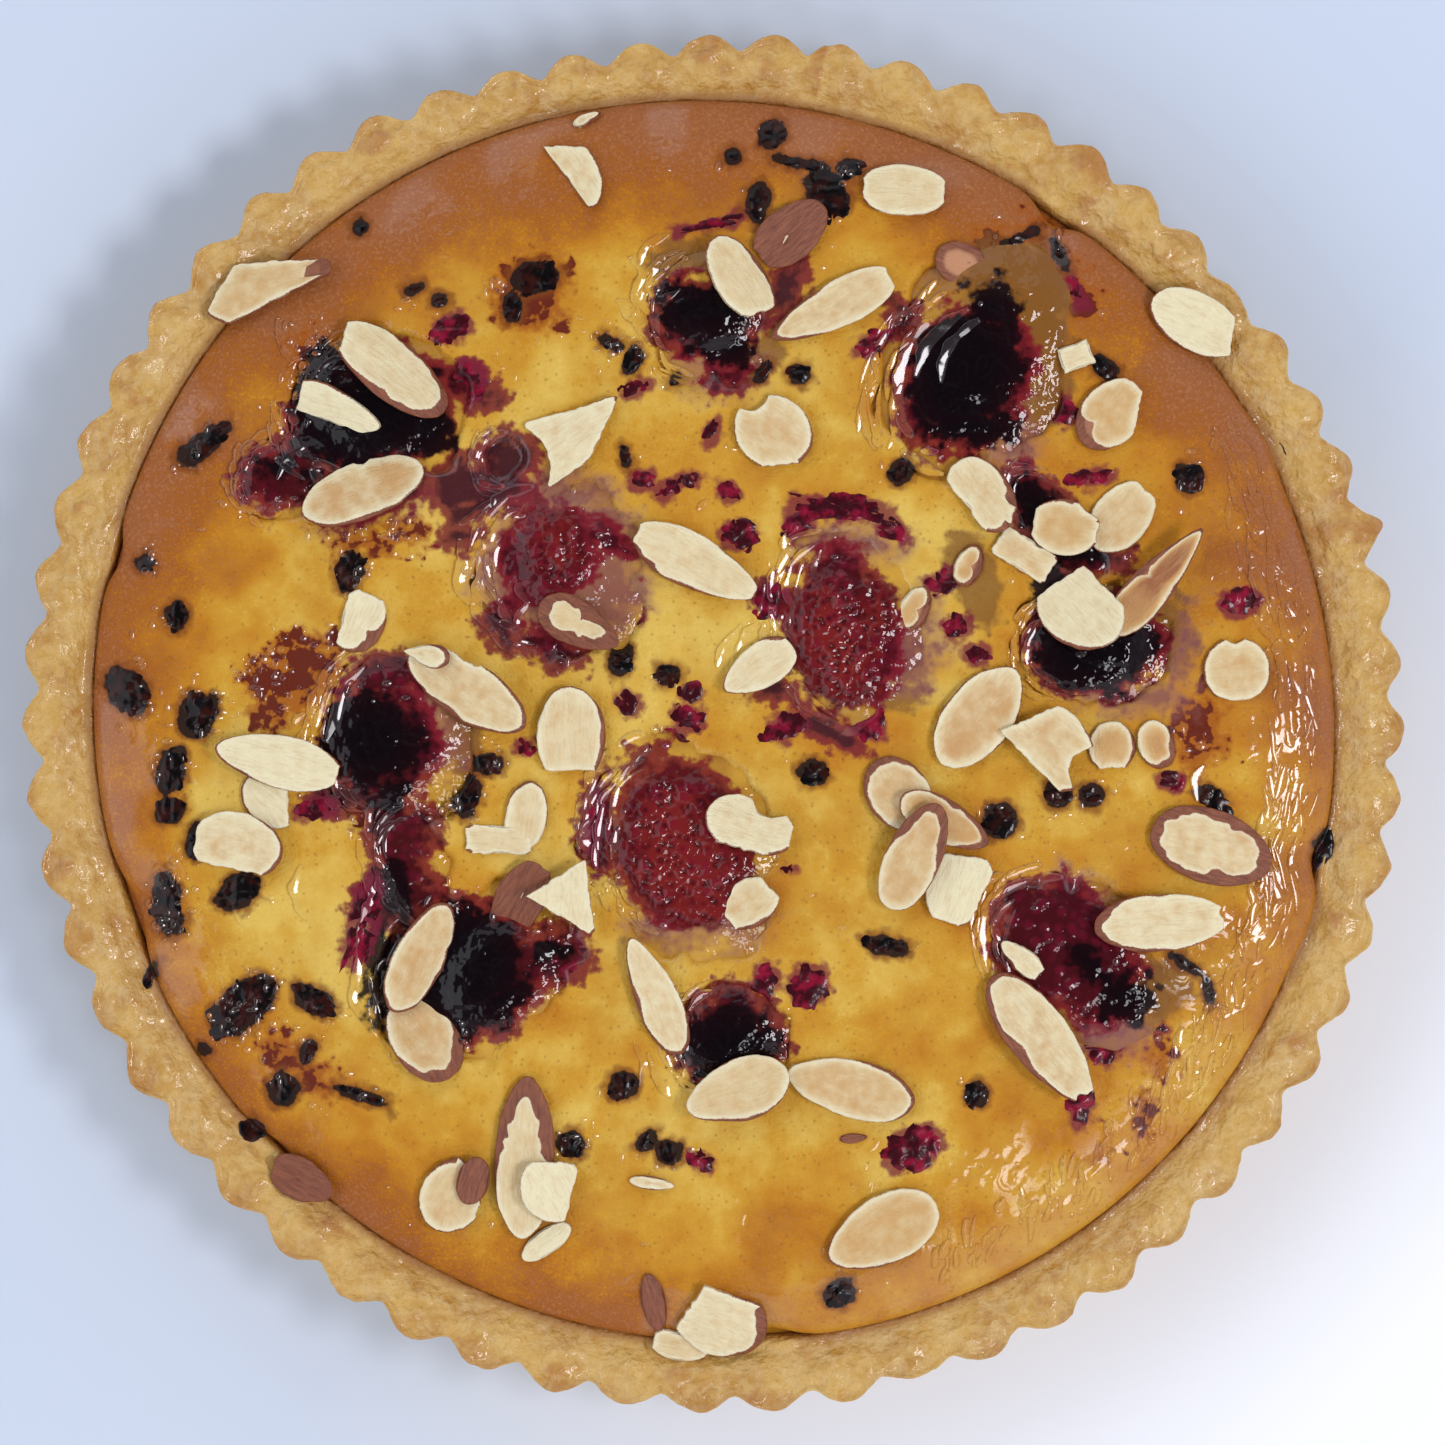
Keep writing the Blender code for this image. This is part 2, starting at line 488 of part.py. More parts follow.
def add_slice(name, row, collection, supports, count, root, gap):
    """One almond slice or bit, cut from its outline and laid down."""
    x, y, turn, *shape = row
    colour = "almond_skin" if name in SKIN_UP else "almond_flesh"
    made = add_object(name, slice_mesh(shape, count, 0.0), colour, collection)
    settle(made, supports, x, y, turn, 0.55 * shape[0] + 1.0, gap)
    if root:
        for vert in made.data.vertices:
            if vert.co.z < 0.5 * SLICE_THICKNESS * MM:
                vert.co.z -= root * MM
    return made


def fruit_mesh(length, width, height, lobes, segments, rings):
    """A lumpy rounded body, flatter below, with shallow lobes round it."""
    bm = bmesh.new()
    bmesh.ops.create_uvsphere(bm, u_segments=segments, v_segments=rings, radius=1.0)
    for vert in bm.verts:
        angle = math.atan2(vert.co.y, vert.co.x)
        lump = 1.0 + LOBE_HEIGHT * math.cos(lobes * angle) * (1.0 - vert.co.z**2) if lobes else 1.0
        taper = 1.0 if lobes else 1.0 - 0.22 * vert.co.x
        low = 0.75 if vert.co.z < 0.0 else 1.0
        vert.co.x *= 0.5 * length * lump
        vert.co.y *= 0.5 * width * lump * taper
        vert.co.z *= 0.5 * height * low
    return bm


def add_berry(name, row, collection, supports):
    """One piece of fruit, set down in its hollow."""
    x, y, length, width, height, turn, lobes = row
    segments, rings = (14, 8) if length > LARGE_BERRY else (10, 6)
    colour = "dark_fruit" if name.startswith("dark") else "red_fruit"
    bm = fruit_mesh(length, width, height, lobes, segments, rings)
    made = add_object(name, bm, colour, collection, smooth=True)
    return settle(made, supports, x, y, turn, 0.55 * length + 1.0, GAP, level=True)


def add_lump(row, collection, supports):
    """A fruit skin baked half into the filling."""
    x, y, length, width, height, turn = row
    made = add_object("lump", fruit_mesh(length, width, 2.0 * height, 5, 8, 5), "dark_fruit", collection)
    settle(made, supports, x, y, turn, 0.5 * length, -1.5 * height)
    return made


def fuse(body, collection):
    """Joins everything in the collection to the body with one union, then removes it."""
    union = body.modifiers.new("baked_on", "BOOLEAN")
    union.operation = "UNION"
    union.operand_type = "COLLECTION"
    union.collection = collection
    graph = bpy.context.evaluated_depsgraph_get()
    joined = bpy.data.meshes.new_from_object(body.evaluated_get(graph))
    body.modifiers.remove(union)
    body.data = joined
    for made in list(collection.objects):
        bpy.data.objects.remove(made)
    bpy.data.collections.remove(collection)


for leftover in list(bpy.data.objects):
    bpy.data.objects.remove(leftover)
tart = bpy.data.collections.new("frangipane_tart")
baked_on = bpy.data.collections.new("baked_on")
bpy.context.scene.collection.children.link(tart)
bpy.context.scene.collection.children.link(baked_on)

crust = build_crust(tart)
frangipane = build_frangipane(tart)
resting_on = [surface(crust), surface(frangipane)]
for bit_name, bit in BAKED_ON.items():
    add_slice(bit_name, bit, baked_on, resting_on[1:], BIT_POINTS, ROOT_DEPTH, -ROOT_SINK)
for lump in BAKED_LUMPS:
    add_lump(lump, baked_on, resting_on[1:])
bpy.context.view_layer.update()
fuse(frangipane, baked_on)
resting_on[1] = surface(frangipane)
for berry_name, berry in BERRIES.items():
    resting_on.append(surface(add_berry(berry_name, berry, tart, resting_on)))
for slice_name, one_slice in SLICES.items():
    laid = add_slice(slice_name, one_slice, tart, resting_on, SLICE_POINTS, 0.0, GAP)
    resting_on.append(surface(laid))
bpy.context.view_layer.update()
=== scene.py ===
# %% [markdown]
# # A frangipane tart, seen from straight above
#
# The tart is a fluted shortcrust case, a domed almond filling, baked berries that have sunk into
# it in pools of juice, and sliced almonds. Everything is measured in millimetres and turned into
# metres only when a mesh is made. +X is to the right and +Y is up in the camera's view.

# %% Load the frame
import math

import bpy
import numpy as np
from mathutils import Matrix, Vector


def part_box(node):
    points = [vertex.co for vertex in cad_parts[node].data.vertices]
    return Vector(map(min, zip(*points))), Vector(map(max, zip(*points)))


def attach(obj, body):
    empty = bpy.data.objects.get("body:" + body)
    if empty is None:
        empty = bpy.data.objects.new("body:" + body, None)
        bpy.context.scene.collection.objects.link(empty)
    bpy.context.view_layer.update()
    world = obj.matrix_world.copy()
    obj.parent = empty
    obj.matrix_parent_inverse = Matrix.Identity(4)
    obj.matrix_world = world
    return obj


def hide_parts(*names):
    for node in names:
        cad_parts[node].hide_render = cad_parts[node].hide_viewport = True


MM = 0.001
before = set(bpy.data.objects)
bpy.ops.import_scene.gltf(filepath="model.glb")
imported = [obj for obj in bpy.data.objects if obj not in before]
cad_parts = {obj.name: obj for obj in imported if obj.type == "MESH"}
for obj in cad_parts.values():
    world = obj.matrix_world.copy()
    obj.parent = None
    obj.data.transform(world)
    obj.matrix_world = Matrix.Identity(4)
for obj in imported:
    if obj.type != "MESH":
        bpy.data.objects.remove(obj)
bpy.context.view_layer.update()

# %% [markdown]
# ## Small tools
#
# Dough is uneven at every scale, so nearly every surface below adds some smooth noise to its
# formula. The noise here is worked out on whole arrays: random values sit on the corners of a
# lattice and are blended between them. Stains and spots are stored as distances to their edge,
# because a distance stays sharp however coarse the mesh is: the material decides, pixel by pixel,
# on which side of the edge it is.


# %% Noise, turns and distances
def lattice_value(cells, seed):
    """A number from -1 to 1 for each whole-numbered cell: its coordinates are mixed by
    multiplying with large odd numbers and folding the high bits on to the low ones."""
    mixed = (cells * np.array([374761393, 668265263, 2246822519])).sum(-1) + seed * 3266489917
    mixed = (mixed ^ (mixed >> 13)) & 0xFFFFFFFF
    mixed = (mixed * 1274126177) & 0xFFFFFFFF
    return ((mixed ^ (mixed >> 16)) & 0xFFFF) / 32767.5 - 1.0


def noise(places, size, seed):
    """Smooth noise with lumps `size` mm apart: the values at the eight lattice corners round a
    place, each weighted by t * t * (3 - 2 t) along each axis."""
    scaled = np.asarray(places, float) / size + 1000.0
    cell = np.floor(scaled).astype(np.int64)
    part = scaled - cell
    part = part * part * (3.0 - 2.0 * part)
    total = 0.0
    for corner in np.ndindex(2, 2, 2):
        weight = np.where(np.array(corner) == 1, part, 1.0 - part).prod(-1)
        total = total + weight * lattice_value(cell + np.array(corner), seed)
    return total


def rough(places, size, seed, layers=3):
    """Noise with finer noise on top: each layer is half as large and half as high."""
    return sum(noise(places, size / 2**k, seed + k) / 2**k for k in range(layers))


def step(start, end, value):
    """0 at start, 1 at end and a smooth t * t * (3 - 2 t) between them."""
    part = np.clip((value - start) / (end - start), 0.0, 1.0)
    return part * part * (3.0 - 2.0 * part)


def bells(angle, places):
    """Bumps round the tart: the sum of height * exp(-(away / half width)^2) over (angle, height,
    half width), in degrees."""
    return sum(
        high * np.exp(-((((angle - middle + 180.0) % 360.0 - 180.0) / wide) ** 2))
        for middle, high, wide in places
    )


def turned(x, y, degrees):
    """x and y turned anticlockwise: x cos - y sin and x sin + y cos."""
    cos, sin = math.cos(math.radians(degrees)), math.sin(math.radians(degrees))
    return x * cos - y * sin, x * sin + y * cos


def turned_out(radius, angle):
    """x and y at a radius and an angle in degrees."""
    return radius * np.cos(np.radians(angle)), radius * np.sin(np.radians(angle))


def circle(count):
    """Angles in radians of points spread evenly round a circle."""
    return np.arange(count) * 2.0 * np.pi / count


def at_zero(x, y):
    """The places x, y at height 0, to read noise at."""
    return np.stack([x, y, 0.0 * x], -1)


def oval_distance(x, y, oval):
    """Distance in mm to an oval (x, y, half length, half width, turn), negative inside it. With
    k0 = |p / radii| and k1 = |p / radii^2| it is close to k0 * (k0 - 1) / k1."""
    along, across = turned(x - oval[0], y - oval[1], -oval[4])
    k0 = np.hypot(along / oval[2], across / oval[3])
    k1 = np.hypot(along / oval[2] ** 2, across / oval[3] ** 2)
    return k0 * (k0 - 1.0) / np.maximum(k1, 1e-9)


def nearest(x, y, ovals):
    """Distance to the nearest of several ovals."""
    return np.min([oval_distance(x, y, oval) for oval in ovals], axis=0)


# %% Pieces and their faces
def make_piece(name, points, quads, triangles=(), material=None, stands_for=(), **values):
    """A piece from points in mm and faces. Each further value is kept on the points, as a number
    or as a pair of coordinates that the material reads."""
    mesh = bpy.data.meshes.new(name)
    points = np.asarray(points, float).reshape(-1, 3)
    faces = np.asarray(quads).tolist() + np.asarray(triangles).tolist()
    mesh.from_pydata((points * MM).tolist(), [], faces)
    for key, value in values.items():
        value = np.asarray(value, np.float32)
        kind = "FLOAT" if value.ndim == 1 else "FLOAT_VECTOR"
        kept = mesh.attributes.new(key, kind, "POINT")
        kept.data.foreach_set("value" if value.ndim == 1 else "vector", value.ravel())
    mesh.shade_smooth()
    mesh.materials.append(material)
    piece = bpy.data.objects.new(name, mesh)
    bpy.context.scene.collection.objects.link(piece)
    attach(piece, "root")
    if stands_for:
        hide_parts(*stands_for)
    return piece


def ring_quads(rows, around, start=0):
    """Faces between neighbouring rows of a grid whose rows close on themselves, facing outwards
    when the rows run anticlockwise and climb up the outside."""
    row, column = np.meshgrid(np.arange(rows - 1), np.arange(around), indexing="ij")
    here = row * around + column
    beside = row * around + (column + 1) % around
    return np.stack([here, beside, beside + around, here + around], -1).reshape(-1, 4) + start


def ring_fan(first, around, tip, facing_up):
    """Triangles that close a ring of points on to one point."""
    column = np.arange(around)
    pair = [first + column, first + (column + 1) % around]
    if not facing_up:
        pair.reverse()
    return np.stack([*pair, np.full(around, tip)], -1)


def closed_faces(rows, around, climbing=True):
    """Quads and triangles of rings that are closed on the two points after them. The rings climb
    up the outside, or else come down it."""
    last, count = (rows - 1) * around, rows * around
    fans = [ring_fan(0, around, count, not climbing), ring_fan(last, around, count + 1, climbing)]
    quads = ring_quads(rows, around)
    return quads if climbing else quads[:, ::-1], np.concatenate(fans)


def bands(rings):
    """Faces between rings of point numbers, from the lowest outwards and up."""
    lower, upper = np.array(rings[:-1]), np.array(rings[1:])
    faces = [lower, np.roll(lower, -1, 1), np.roll(upper, -1, 1), upper]
    return np.stack(faces, -1).reshape(-1, 4)


def copies(faces, count, size):
    """The same faces on each of several shapes of `size` points that follow one another."""
    starts = np.arange(count)[:, None, None] * size
    return (faces[None] + starts).reshape(-1, faces.shape[1])


# %% Materials and their nodes
RGBA = {"data_type": "RGBA"}
SMOOTH = {"interpolation_type": "SMOOTHSTEP"}
PLUS = {"operation": "ADD"}
TIMES = {"operation": "MULTIPLY"}
MULTIPLY_ADD = {"operation": "MULTIPLY_ADD"}


def linear(hex_colour):
    """An sRGB hex colour as linear red, green, blue and alpha: c / 12.92 below 0.04045, and
    ((c + 0.055) / 1.055) ^ 2.4 above it."""
    parts = [int(hex_colour[k : k + 2], 16) / 255.0 for k in (1, 3, 5)]
    return [c / 12.92 if c <= 0.04045 else ((c + 0.055) / 1.055) ** 2.4 for c in parts] + [1.0]


def feed(tree, node, inputs):
    """Fills a node's inputs. Each takes a number, a hex colour, or another node, whose first
    output in use is linked to it."""
    for key, value in inputs.items():
        if isinstance(value, bpy.types.Node):
            value = next(socket for socket in value.outputs if socket.enabled)
        if isinstance(value, bpy.types.NodeSocket):
            tree.links.new(value, node.inputs[key])
        else:
            node.inputs[key].default_value = linear(value) if isinstance(value, str) else value


def add(tree, kind, inputs=None, settings=None):
    """Adds a shader node with its inputs and settings."""
    made = tree.nodes.new("ShaderNode" + kind)
    for key, value in (settings or {}).items():
        setattr(made, key, value)
    feed(tree, made, inputs or {})
    return made


def new_material(name, kept=()):
    """A material with its Principled shader, its Object coordinates, and the values kept on the
    points, by their names."""
    material = bpy.data.materials.new(name)
    material.use_nodes = True
    tree = material.node_tree
    place = add(tree, "TexCoord").outputs["Object"]
    layer = {key: add(tree, "Attribute", None, {"attribute_name": key}).outputs["Fac"] for key in kept}
    return material, tree, tree.nodes["Principled BSDF"], place, layer


def textures(tree, place, kind, *sizes):
    """One texture of a kind for each scale (per metre) and detail."""
    names = ("Scale", "Detail", "Distortion")
    return [add(tree, kind, {"Vector": place, **dict(zip(names, size))}) for size in sizes]


def over(tree, colour, rows):
    """Lays colours over a colour. Each row has a value, where on it the new colour starts and is
    full, its share there, the colour, and SMOOTH if it starts and ends softly."""
    for value, start, full, most, new, *smooth in rows:
        share = add(tree, "MapRange", {0: value, 1: start, 2: full, 4: most}, *smooth)
        colour = add(tree, "Mix", {0: share, 6: colour, 7: new}, RGBA)
    return colour


def shifted(tree, value, rows):
    """Shifts a value by far * (noise - middle) for each row of noise, far and middle."""
    for source, far, middle in rows:
        moved = add(tree, "Math", {0: source, 1: far, 2: -middle * far}, MULTIPLY_ADD)
        value = add(tree, "Math", {0: moved, 1: value}, PLUS)
    return value


# %% [markdown]
# ## The plan of the tart
#
# The case is a little oval, as a loose-base tin springs out of round. Its 60 flutes are counted
# in the view and crowd a little towards one side, because the pastry was pressed in by hand. The
# filling has risen above the case and its edge wanders: it has notches where it tore, and lumps
# where it ran over.

# %% Outlines seen from above
RIM_RADIUS = 125.0
FOOT_RADIUS = 117.5
FLUTES = 60
FLUTE_STEP = 360.0 / FLUTES
# Two flutes that were pressed weakly, with their height, and one with a nub on it.
WEAK_FLUTES = ((6, 0.45), (47, 0.5))
NUB_FLUTE = 2
FLUTE_DEPTH = 3.1
FOOT_FLUTE_DEPTH = 2.0
RIM_HEIGHT = 26.0
CASE_FLOOR = 4.5
# The room that the solids of the case and the filling leave between them.
GAP = 0.35
# The filling's lip, how far its shoulder rises over it, and its dome over that.
LIP_HEIGHT = 24.4
SHOULDER_RISE = 6.8
DOME_RISE = 1.6


def case_scale(angle):
    """How far the case is out of round: 1 + 0.9% of cos(2 (angle - 132)), less a flat stretch."""
    return 1.0 + 0.009 * np.cos(np.radians(2.0 * (angle - 132.0))) - bells(angle, [(103.0, 0.02, 14.0)])


def case_inside(angle):
    """Radius of the case's inner wall at its top."""
    return 111.8 + 1.3 * np.cos(np.radians(2.0 * (angle - 135.0)))


FILL_NOTCHES = ((56.0, 2.4, 2.2), (164.5, 1.7, 2.2), (198.0, 2.2, 4.0), (225.0, 1.6, 3.0))
FILL_NOTCHES += ((275.0, 2.2, 3.0), (347.0, 2.0, 2.2))
FILL_LUMPS = ((27.0, 0.9, 3.0), (342.0, 0.9, 4.0))


def fill_edge(angle):
    """Radius of the filling's lip: just over the inner wall, less the notches, plus the lumps."""
    return case_inside(angle) + 1.0 - bells(angle, FILL_NOTCHES) + bells(angle, FILL_LUMPS)


def edge_place(x, y):
    """The angle of a place in degrees, and how many mm it is inside the filling's edge."""
    angle = np.degrees(np.arctan2(y, x))
    return angle, fill_edge(angle) - np.hypot(x, y)


def share_out(x, y):
    """How far out a place is: 0 in the middle of the tart and 1 on the filling's edge."""
    return np.hypot(x, y) / fill_edge(np.degrees(np.arctan2(y, x)))


def flute(angle):
    """1 on a flute's crest and 0 in the valley: round crests, sqrt(cos^2 + 0.07), with narrower
    valleys. The crests stand 6 degrees apart, shifted by up to 3.2 degrees."""
    even = angle - 3.2 * np.cos(np.radians(angle - 320.0)) - 2.75
    number = np.round(even / FLUTE_STEP)
    phase = even / FLUTE_STEP - number
    crest = (np.sqrt(0.93 * np.cos(np.pi * phase) ** 2 + 0.07) - 0.2646) / 0.7354
    number = number % FLUTES
    height = 1.0
    for weak, share in WEAK_FLUTES:
        height = np.where(number == weak, share, height)
    nub = np.where(number == NUB_FLUTE, 0.5 * np.exp(-((phase / 0.16) ** 2)), 0.0)
    return crest * height + nub


# %% [markdown]
# ## The shortcrust case
#
# Shortcrust is rolled, pressed into a fluted tin and trimmed with a roll of the pin, so its
# outside is a clean print of the tin while its rim is torn and crumbly. The whole case is one
# profile carried round the tart: up the fluted outside, over the rim, down the sloping inside to
# the filling, and down behind it. Every row of that profile is a formula of the angle, and noise
# in three sizes gives the lumps of dough, the crumbs and the grain.

# %% The case's profile carried round
CASE_AROUND = 1200
# Steps between one corner of the profile and the next, from the foot up and over the rim.
CASE_STEPS = (3, 16, 6, 12, 12, 10, 5)
DOUGH_SEAMS = ((80.5, 0.9), (53.5, 0.8), (301.0, 0.5), (14.0, 0.5), (232.0, 0.4), (150.0, 0.4))


def rim_waves(angle):
    """The rim's slow rise and fall, as it was trimmed by hand."""
    waves = ((3, 40.0, 0.5), (5, 110.0, 0.35), (11, 15.0, 0.3), (17, 70.0, 0.25))
    return sum(high * np.cos(np.radians(count * (angle - phase))) for count, phase, high in waves)


def case_profile(angle):
    """Radius and height of the profile's eight corners, for every angle: foot, outer wall, rim,
    and the inner slope, on which the flutes fade away."""
    wave, crest, scale = rim_waves(angle), flute(angle), case_scale(angle)
    inner = case_inside(angle)
    width = (RIM_RADIUS - FLUTE_DEPTH) * scale - inner
    foot = FOOT_RADIUS - FOOT_FLUTE_DEPTH * (1.0 - crest)
    rows = [
        ((foot - 0.8) * scale, 0.0 * angle),
        (foot * scale, 1.2 + 0.05 * wave),
        ((RIM_RADIUS - FLUTE_DEPTH * (1.0 - crest)) * scale, RIM_HEIGHT - 1.6 + wave),
        ((RIM_RADIUS - 1.4 - (FLUTE_DEPTH - 0.6) * (1.0 - crest)) * scale, RIM_HEIGHT + wave),
        (inner + 0.66 * width, RIM_HEIGHT + 0.1 + 0.7 * (crest - 0.5) + 0.66 * wave),
        (inner + 0.3 * width, RIM_HEIGHT - 1.8 + 0.3 * (crest - 0.5) + 0.3 * wave),
        (inner, RIM_HEIGHT - 3.4 + 0.0 * angle),
        (inner - 4.0, CASE_FLOOR + 0.0 * angle),
    ]
    return np.array([[radius, height] for radius, height in rows])


def rounded_rows(corners, counts):
    """Points along the profile: a Catmull-Rom curve through the corners, with the given number
    of steps after each corner. For a step t from corner 1 to 2 it is half of 2 P1 + (P2 - P0) t
    + (2 P0 - 5 P1 + 4 P2 - P3) t^2 + (3 P1 - P0 - 3 P2 + P3) t^3."""
    ends = np.concatenate([corners[:1], corners, corners[-1:]])
    rows = [corners[:1]]
    for k in range(len(corners) - 1):
        p0, p1, p2, p3 = ends[k : k + 4]
        if k in (0, 6):
            p0, p3 = 2 * p1 - p2, 2 * p2 - p1
        t = (np.arange(counts[k]) + 1.0)[:, None, None] / counts[k]
        curve = 2 * p1 + (p2 - p0) * t + (2 * p0 - 5 * p1 + 4 * p2 - p3) * t**2
        rows.append((curve + (3 * p1 - p0 - 3 * p2 + p3) * t**3) / 2)
    return np.concatenate(rows)


case_angle = np.arange(CASE_AROUND) * 360.0 / CASE_AROUND
case_rows = rounded_rows(case_profile(case_angle), CASE_STEPS)
case_radius, case_height = case_rows[:, 0], case_rows[:, 1]
case_points = np.stack([*turned_out(case_radius, case_angle), case_height], -1)
on_rim = step(8.0, 25.0, case_height) * step(0.0, 3.0, case_radius - case_inside(case_angle))
on_wall = step(0.5, 3.0, case_height) * (1.0 - on_rim)
dough = 0.5 * rough(case_points, 7.0, 11) + 0.44 * rough(case_points, 2.4, 21)
dough = dough - 0.25 * step(0.25, 0.8, noise(case_points, 3.4, 31))
seams = sum(
    high * step(-0.25, 0.25, case_angle - at) * np.exp(-np.maximum(case_angle - at, 0.0) / 5.0)
    for at, high in DOUGH_SEAMS
)
lift = on_rim * (dough * 1.05 + seams) + on_wall * 0.18 * rough(case_points, 4.0, 41)
outward = np.stack(turned_out(1.0, case_angle), -1)
flat = step(22.0, 25.5, case_height)
case_points[..., 2] += lift * (0.25 + 0.75 * flat) * on_rim
case_points[..., :2] += outward * (lift * (1.0 - 0.6 * flat))[..., None]
case_points[..., 2] = np.maximum(case_points[..., 2], 0.0)
print("case rows:", len(case_points), "highest:", round(float(case_points[..., 2].max()), 2), "mm")

# %% [markdown]
# ## The finish of baked shortcrust
#
# Butter and flour bake to a sandy gold, browner on the crags that stood nearest to the heat,
# and the creases are painted paler, a painted highlight. It is nearly matte, with a little shine
# where butter has come out. Relief on the points (how far a place stands out of its neighbours)
# tells the material which is which.

# %% Baked shortcrust
shortcrust, tree, shader, place, layer = new_material("baked_shortcrust", ("relief", "inner"))
# Patches about 9 mm across, sand grains about 0.9 mm and crumbs about 2.2 mm.
patch, sand, crumb = textures(tree, place, "TexNoise", (110.0, 3.0), (1100.0, 4.0), (450.0, 3.0))
crags = add(tree, "Math", {0: patch, 1: 0.9, 2: layer["relief"]}, MULTIPLY_ADD)
brim = add(tree, "Math", {0: patch, 1: 6.0, 2: layer["inner"]}, MULTIPLY_ADD)
# Darker patches, sandy crumbs, browned crags, a painted highlight in the creases, filling stuck to
# the inside with painted shade of the gap beside the filling, and the brim that browned most.
gold = over(
    tree,
    "#d2a552",
    [
        (patch, 0.36, 0.66, 1.0, "#bf8a34", SMOOTH),
        (crumb, 0.4, 0.64, 0.6, "#dcb772"),
        (crags, 0.62, 1.35, 0.75, "#b4762f", SMOOTH),
        (layer["relief"], -0.15, -0.75, 0.25, "#e2c488", SMOOTH),
        (layer["inner"], 2.4, 0.2, 0.85, "#9c6427", SMOOTH),
        (brim, 13.0, 15.5, 0.45, "#b3772c"),
    ],
)
height = add(tree, "Math", {0: crumb, 1: 1.6, 2: sand}, MULTIPLY_ADD)
bump = add(tree, "Bump", {"Strength": 0.7, "Distance": 0.0009, "Height": height})
# A little of the glaze has run over the rim: it lies in patches and follows only the larger lumps.
shine = add(tree, "MapRange", {0: patch, 1: 0.4, 2: 0.6, 3: 0.12, 4: 0.75})
coat_bump = add(tree, "Bump", {"Strength": 0.45, "Distance": 0.0008, "Height": crumb})
feed(tree, shader, {"Base Color": gold, "Normal": bump, "Roughness": 0.5})
feed(tree, shader, {"Coat Weight": shine, "Coat Normal": coat_bump, "Coat Roughness": 0.13})

# %% Make the case
case_relief = (lift - 0.25 * (1.0 - flute(case_angle))) * on_rim
case_inner = np.hypot(case_points[..., 0], case_points[..., 1]) - fill_edge(case_angle)
crust = make_piece(
    "fluted_case",
    np.concatenate([case_points.reshape(-1, 3), [[0, 0, 0.0], [0, 0, CASE_FLOOR]]]),
    *closed_faces(len(case_points), CASE_AROUND),
    shortcrust,
    ["crust"],
    relief=np.append(case_relief.ravel(), [0.0, 0.0]),
    inner=np.append(case_inner.ravel(), [-50.0, -50.0]),
)
print("case faces:", len(crust.data.polygons))

# %% [markdown]
# ## Where the fruit has sunk and stained
#
# Each hollow is an oval with a flat floor and steep sides, as a berry leaves when the filling
# rises round it. Small bits of skin have burnt black on the surface, others have bled wine red,
# and sugar has scorched brown. Each is kept as an oval: x, y, half length, half width, turn.

# %% Hollows, bits and stains
HOLLOWS = (
    (-61, 56, 17.5, 14, 20, 4.6), (-78, 44, 9, 7.5, 20, 3), (-38.8, 47.2, 6, 4.2, 80, 2),
    (-27.5, 26.5, 16, 14.5, -60, 3.4), (-1.5, 73, 11.5, 13, 0, 4.8), (46.5, 63.5, 21, 16, 62, 5),
    (24.5, 17, 17.5, 13.5, -70, 3.2), (68.5, 14, 14, 10.5, 5, 4.8), (61, 36, 14, 5.5, -50, 2.2),
    (-5.5, -23, 20, 15.5, -62, 4.2), (-58, -2.5, 16.5, 14.5, 60, 4.8), (-54, -27, 12, 6, -65, 2.6),
    (-43.5, -45.5, 17, 15, 30, 5), (3, -57.5, 11, 10, 0, 4.6), (65.5, -43, 18, 13.5, -42, 4.4),
)
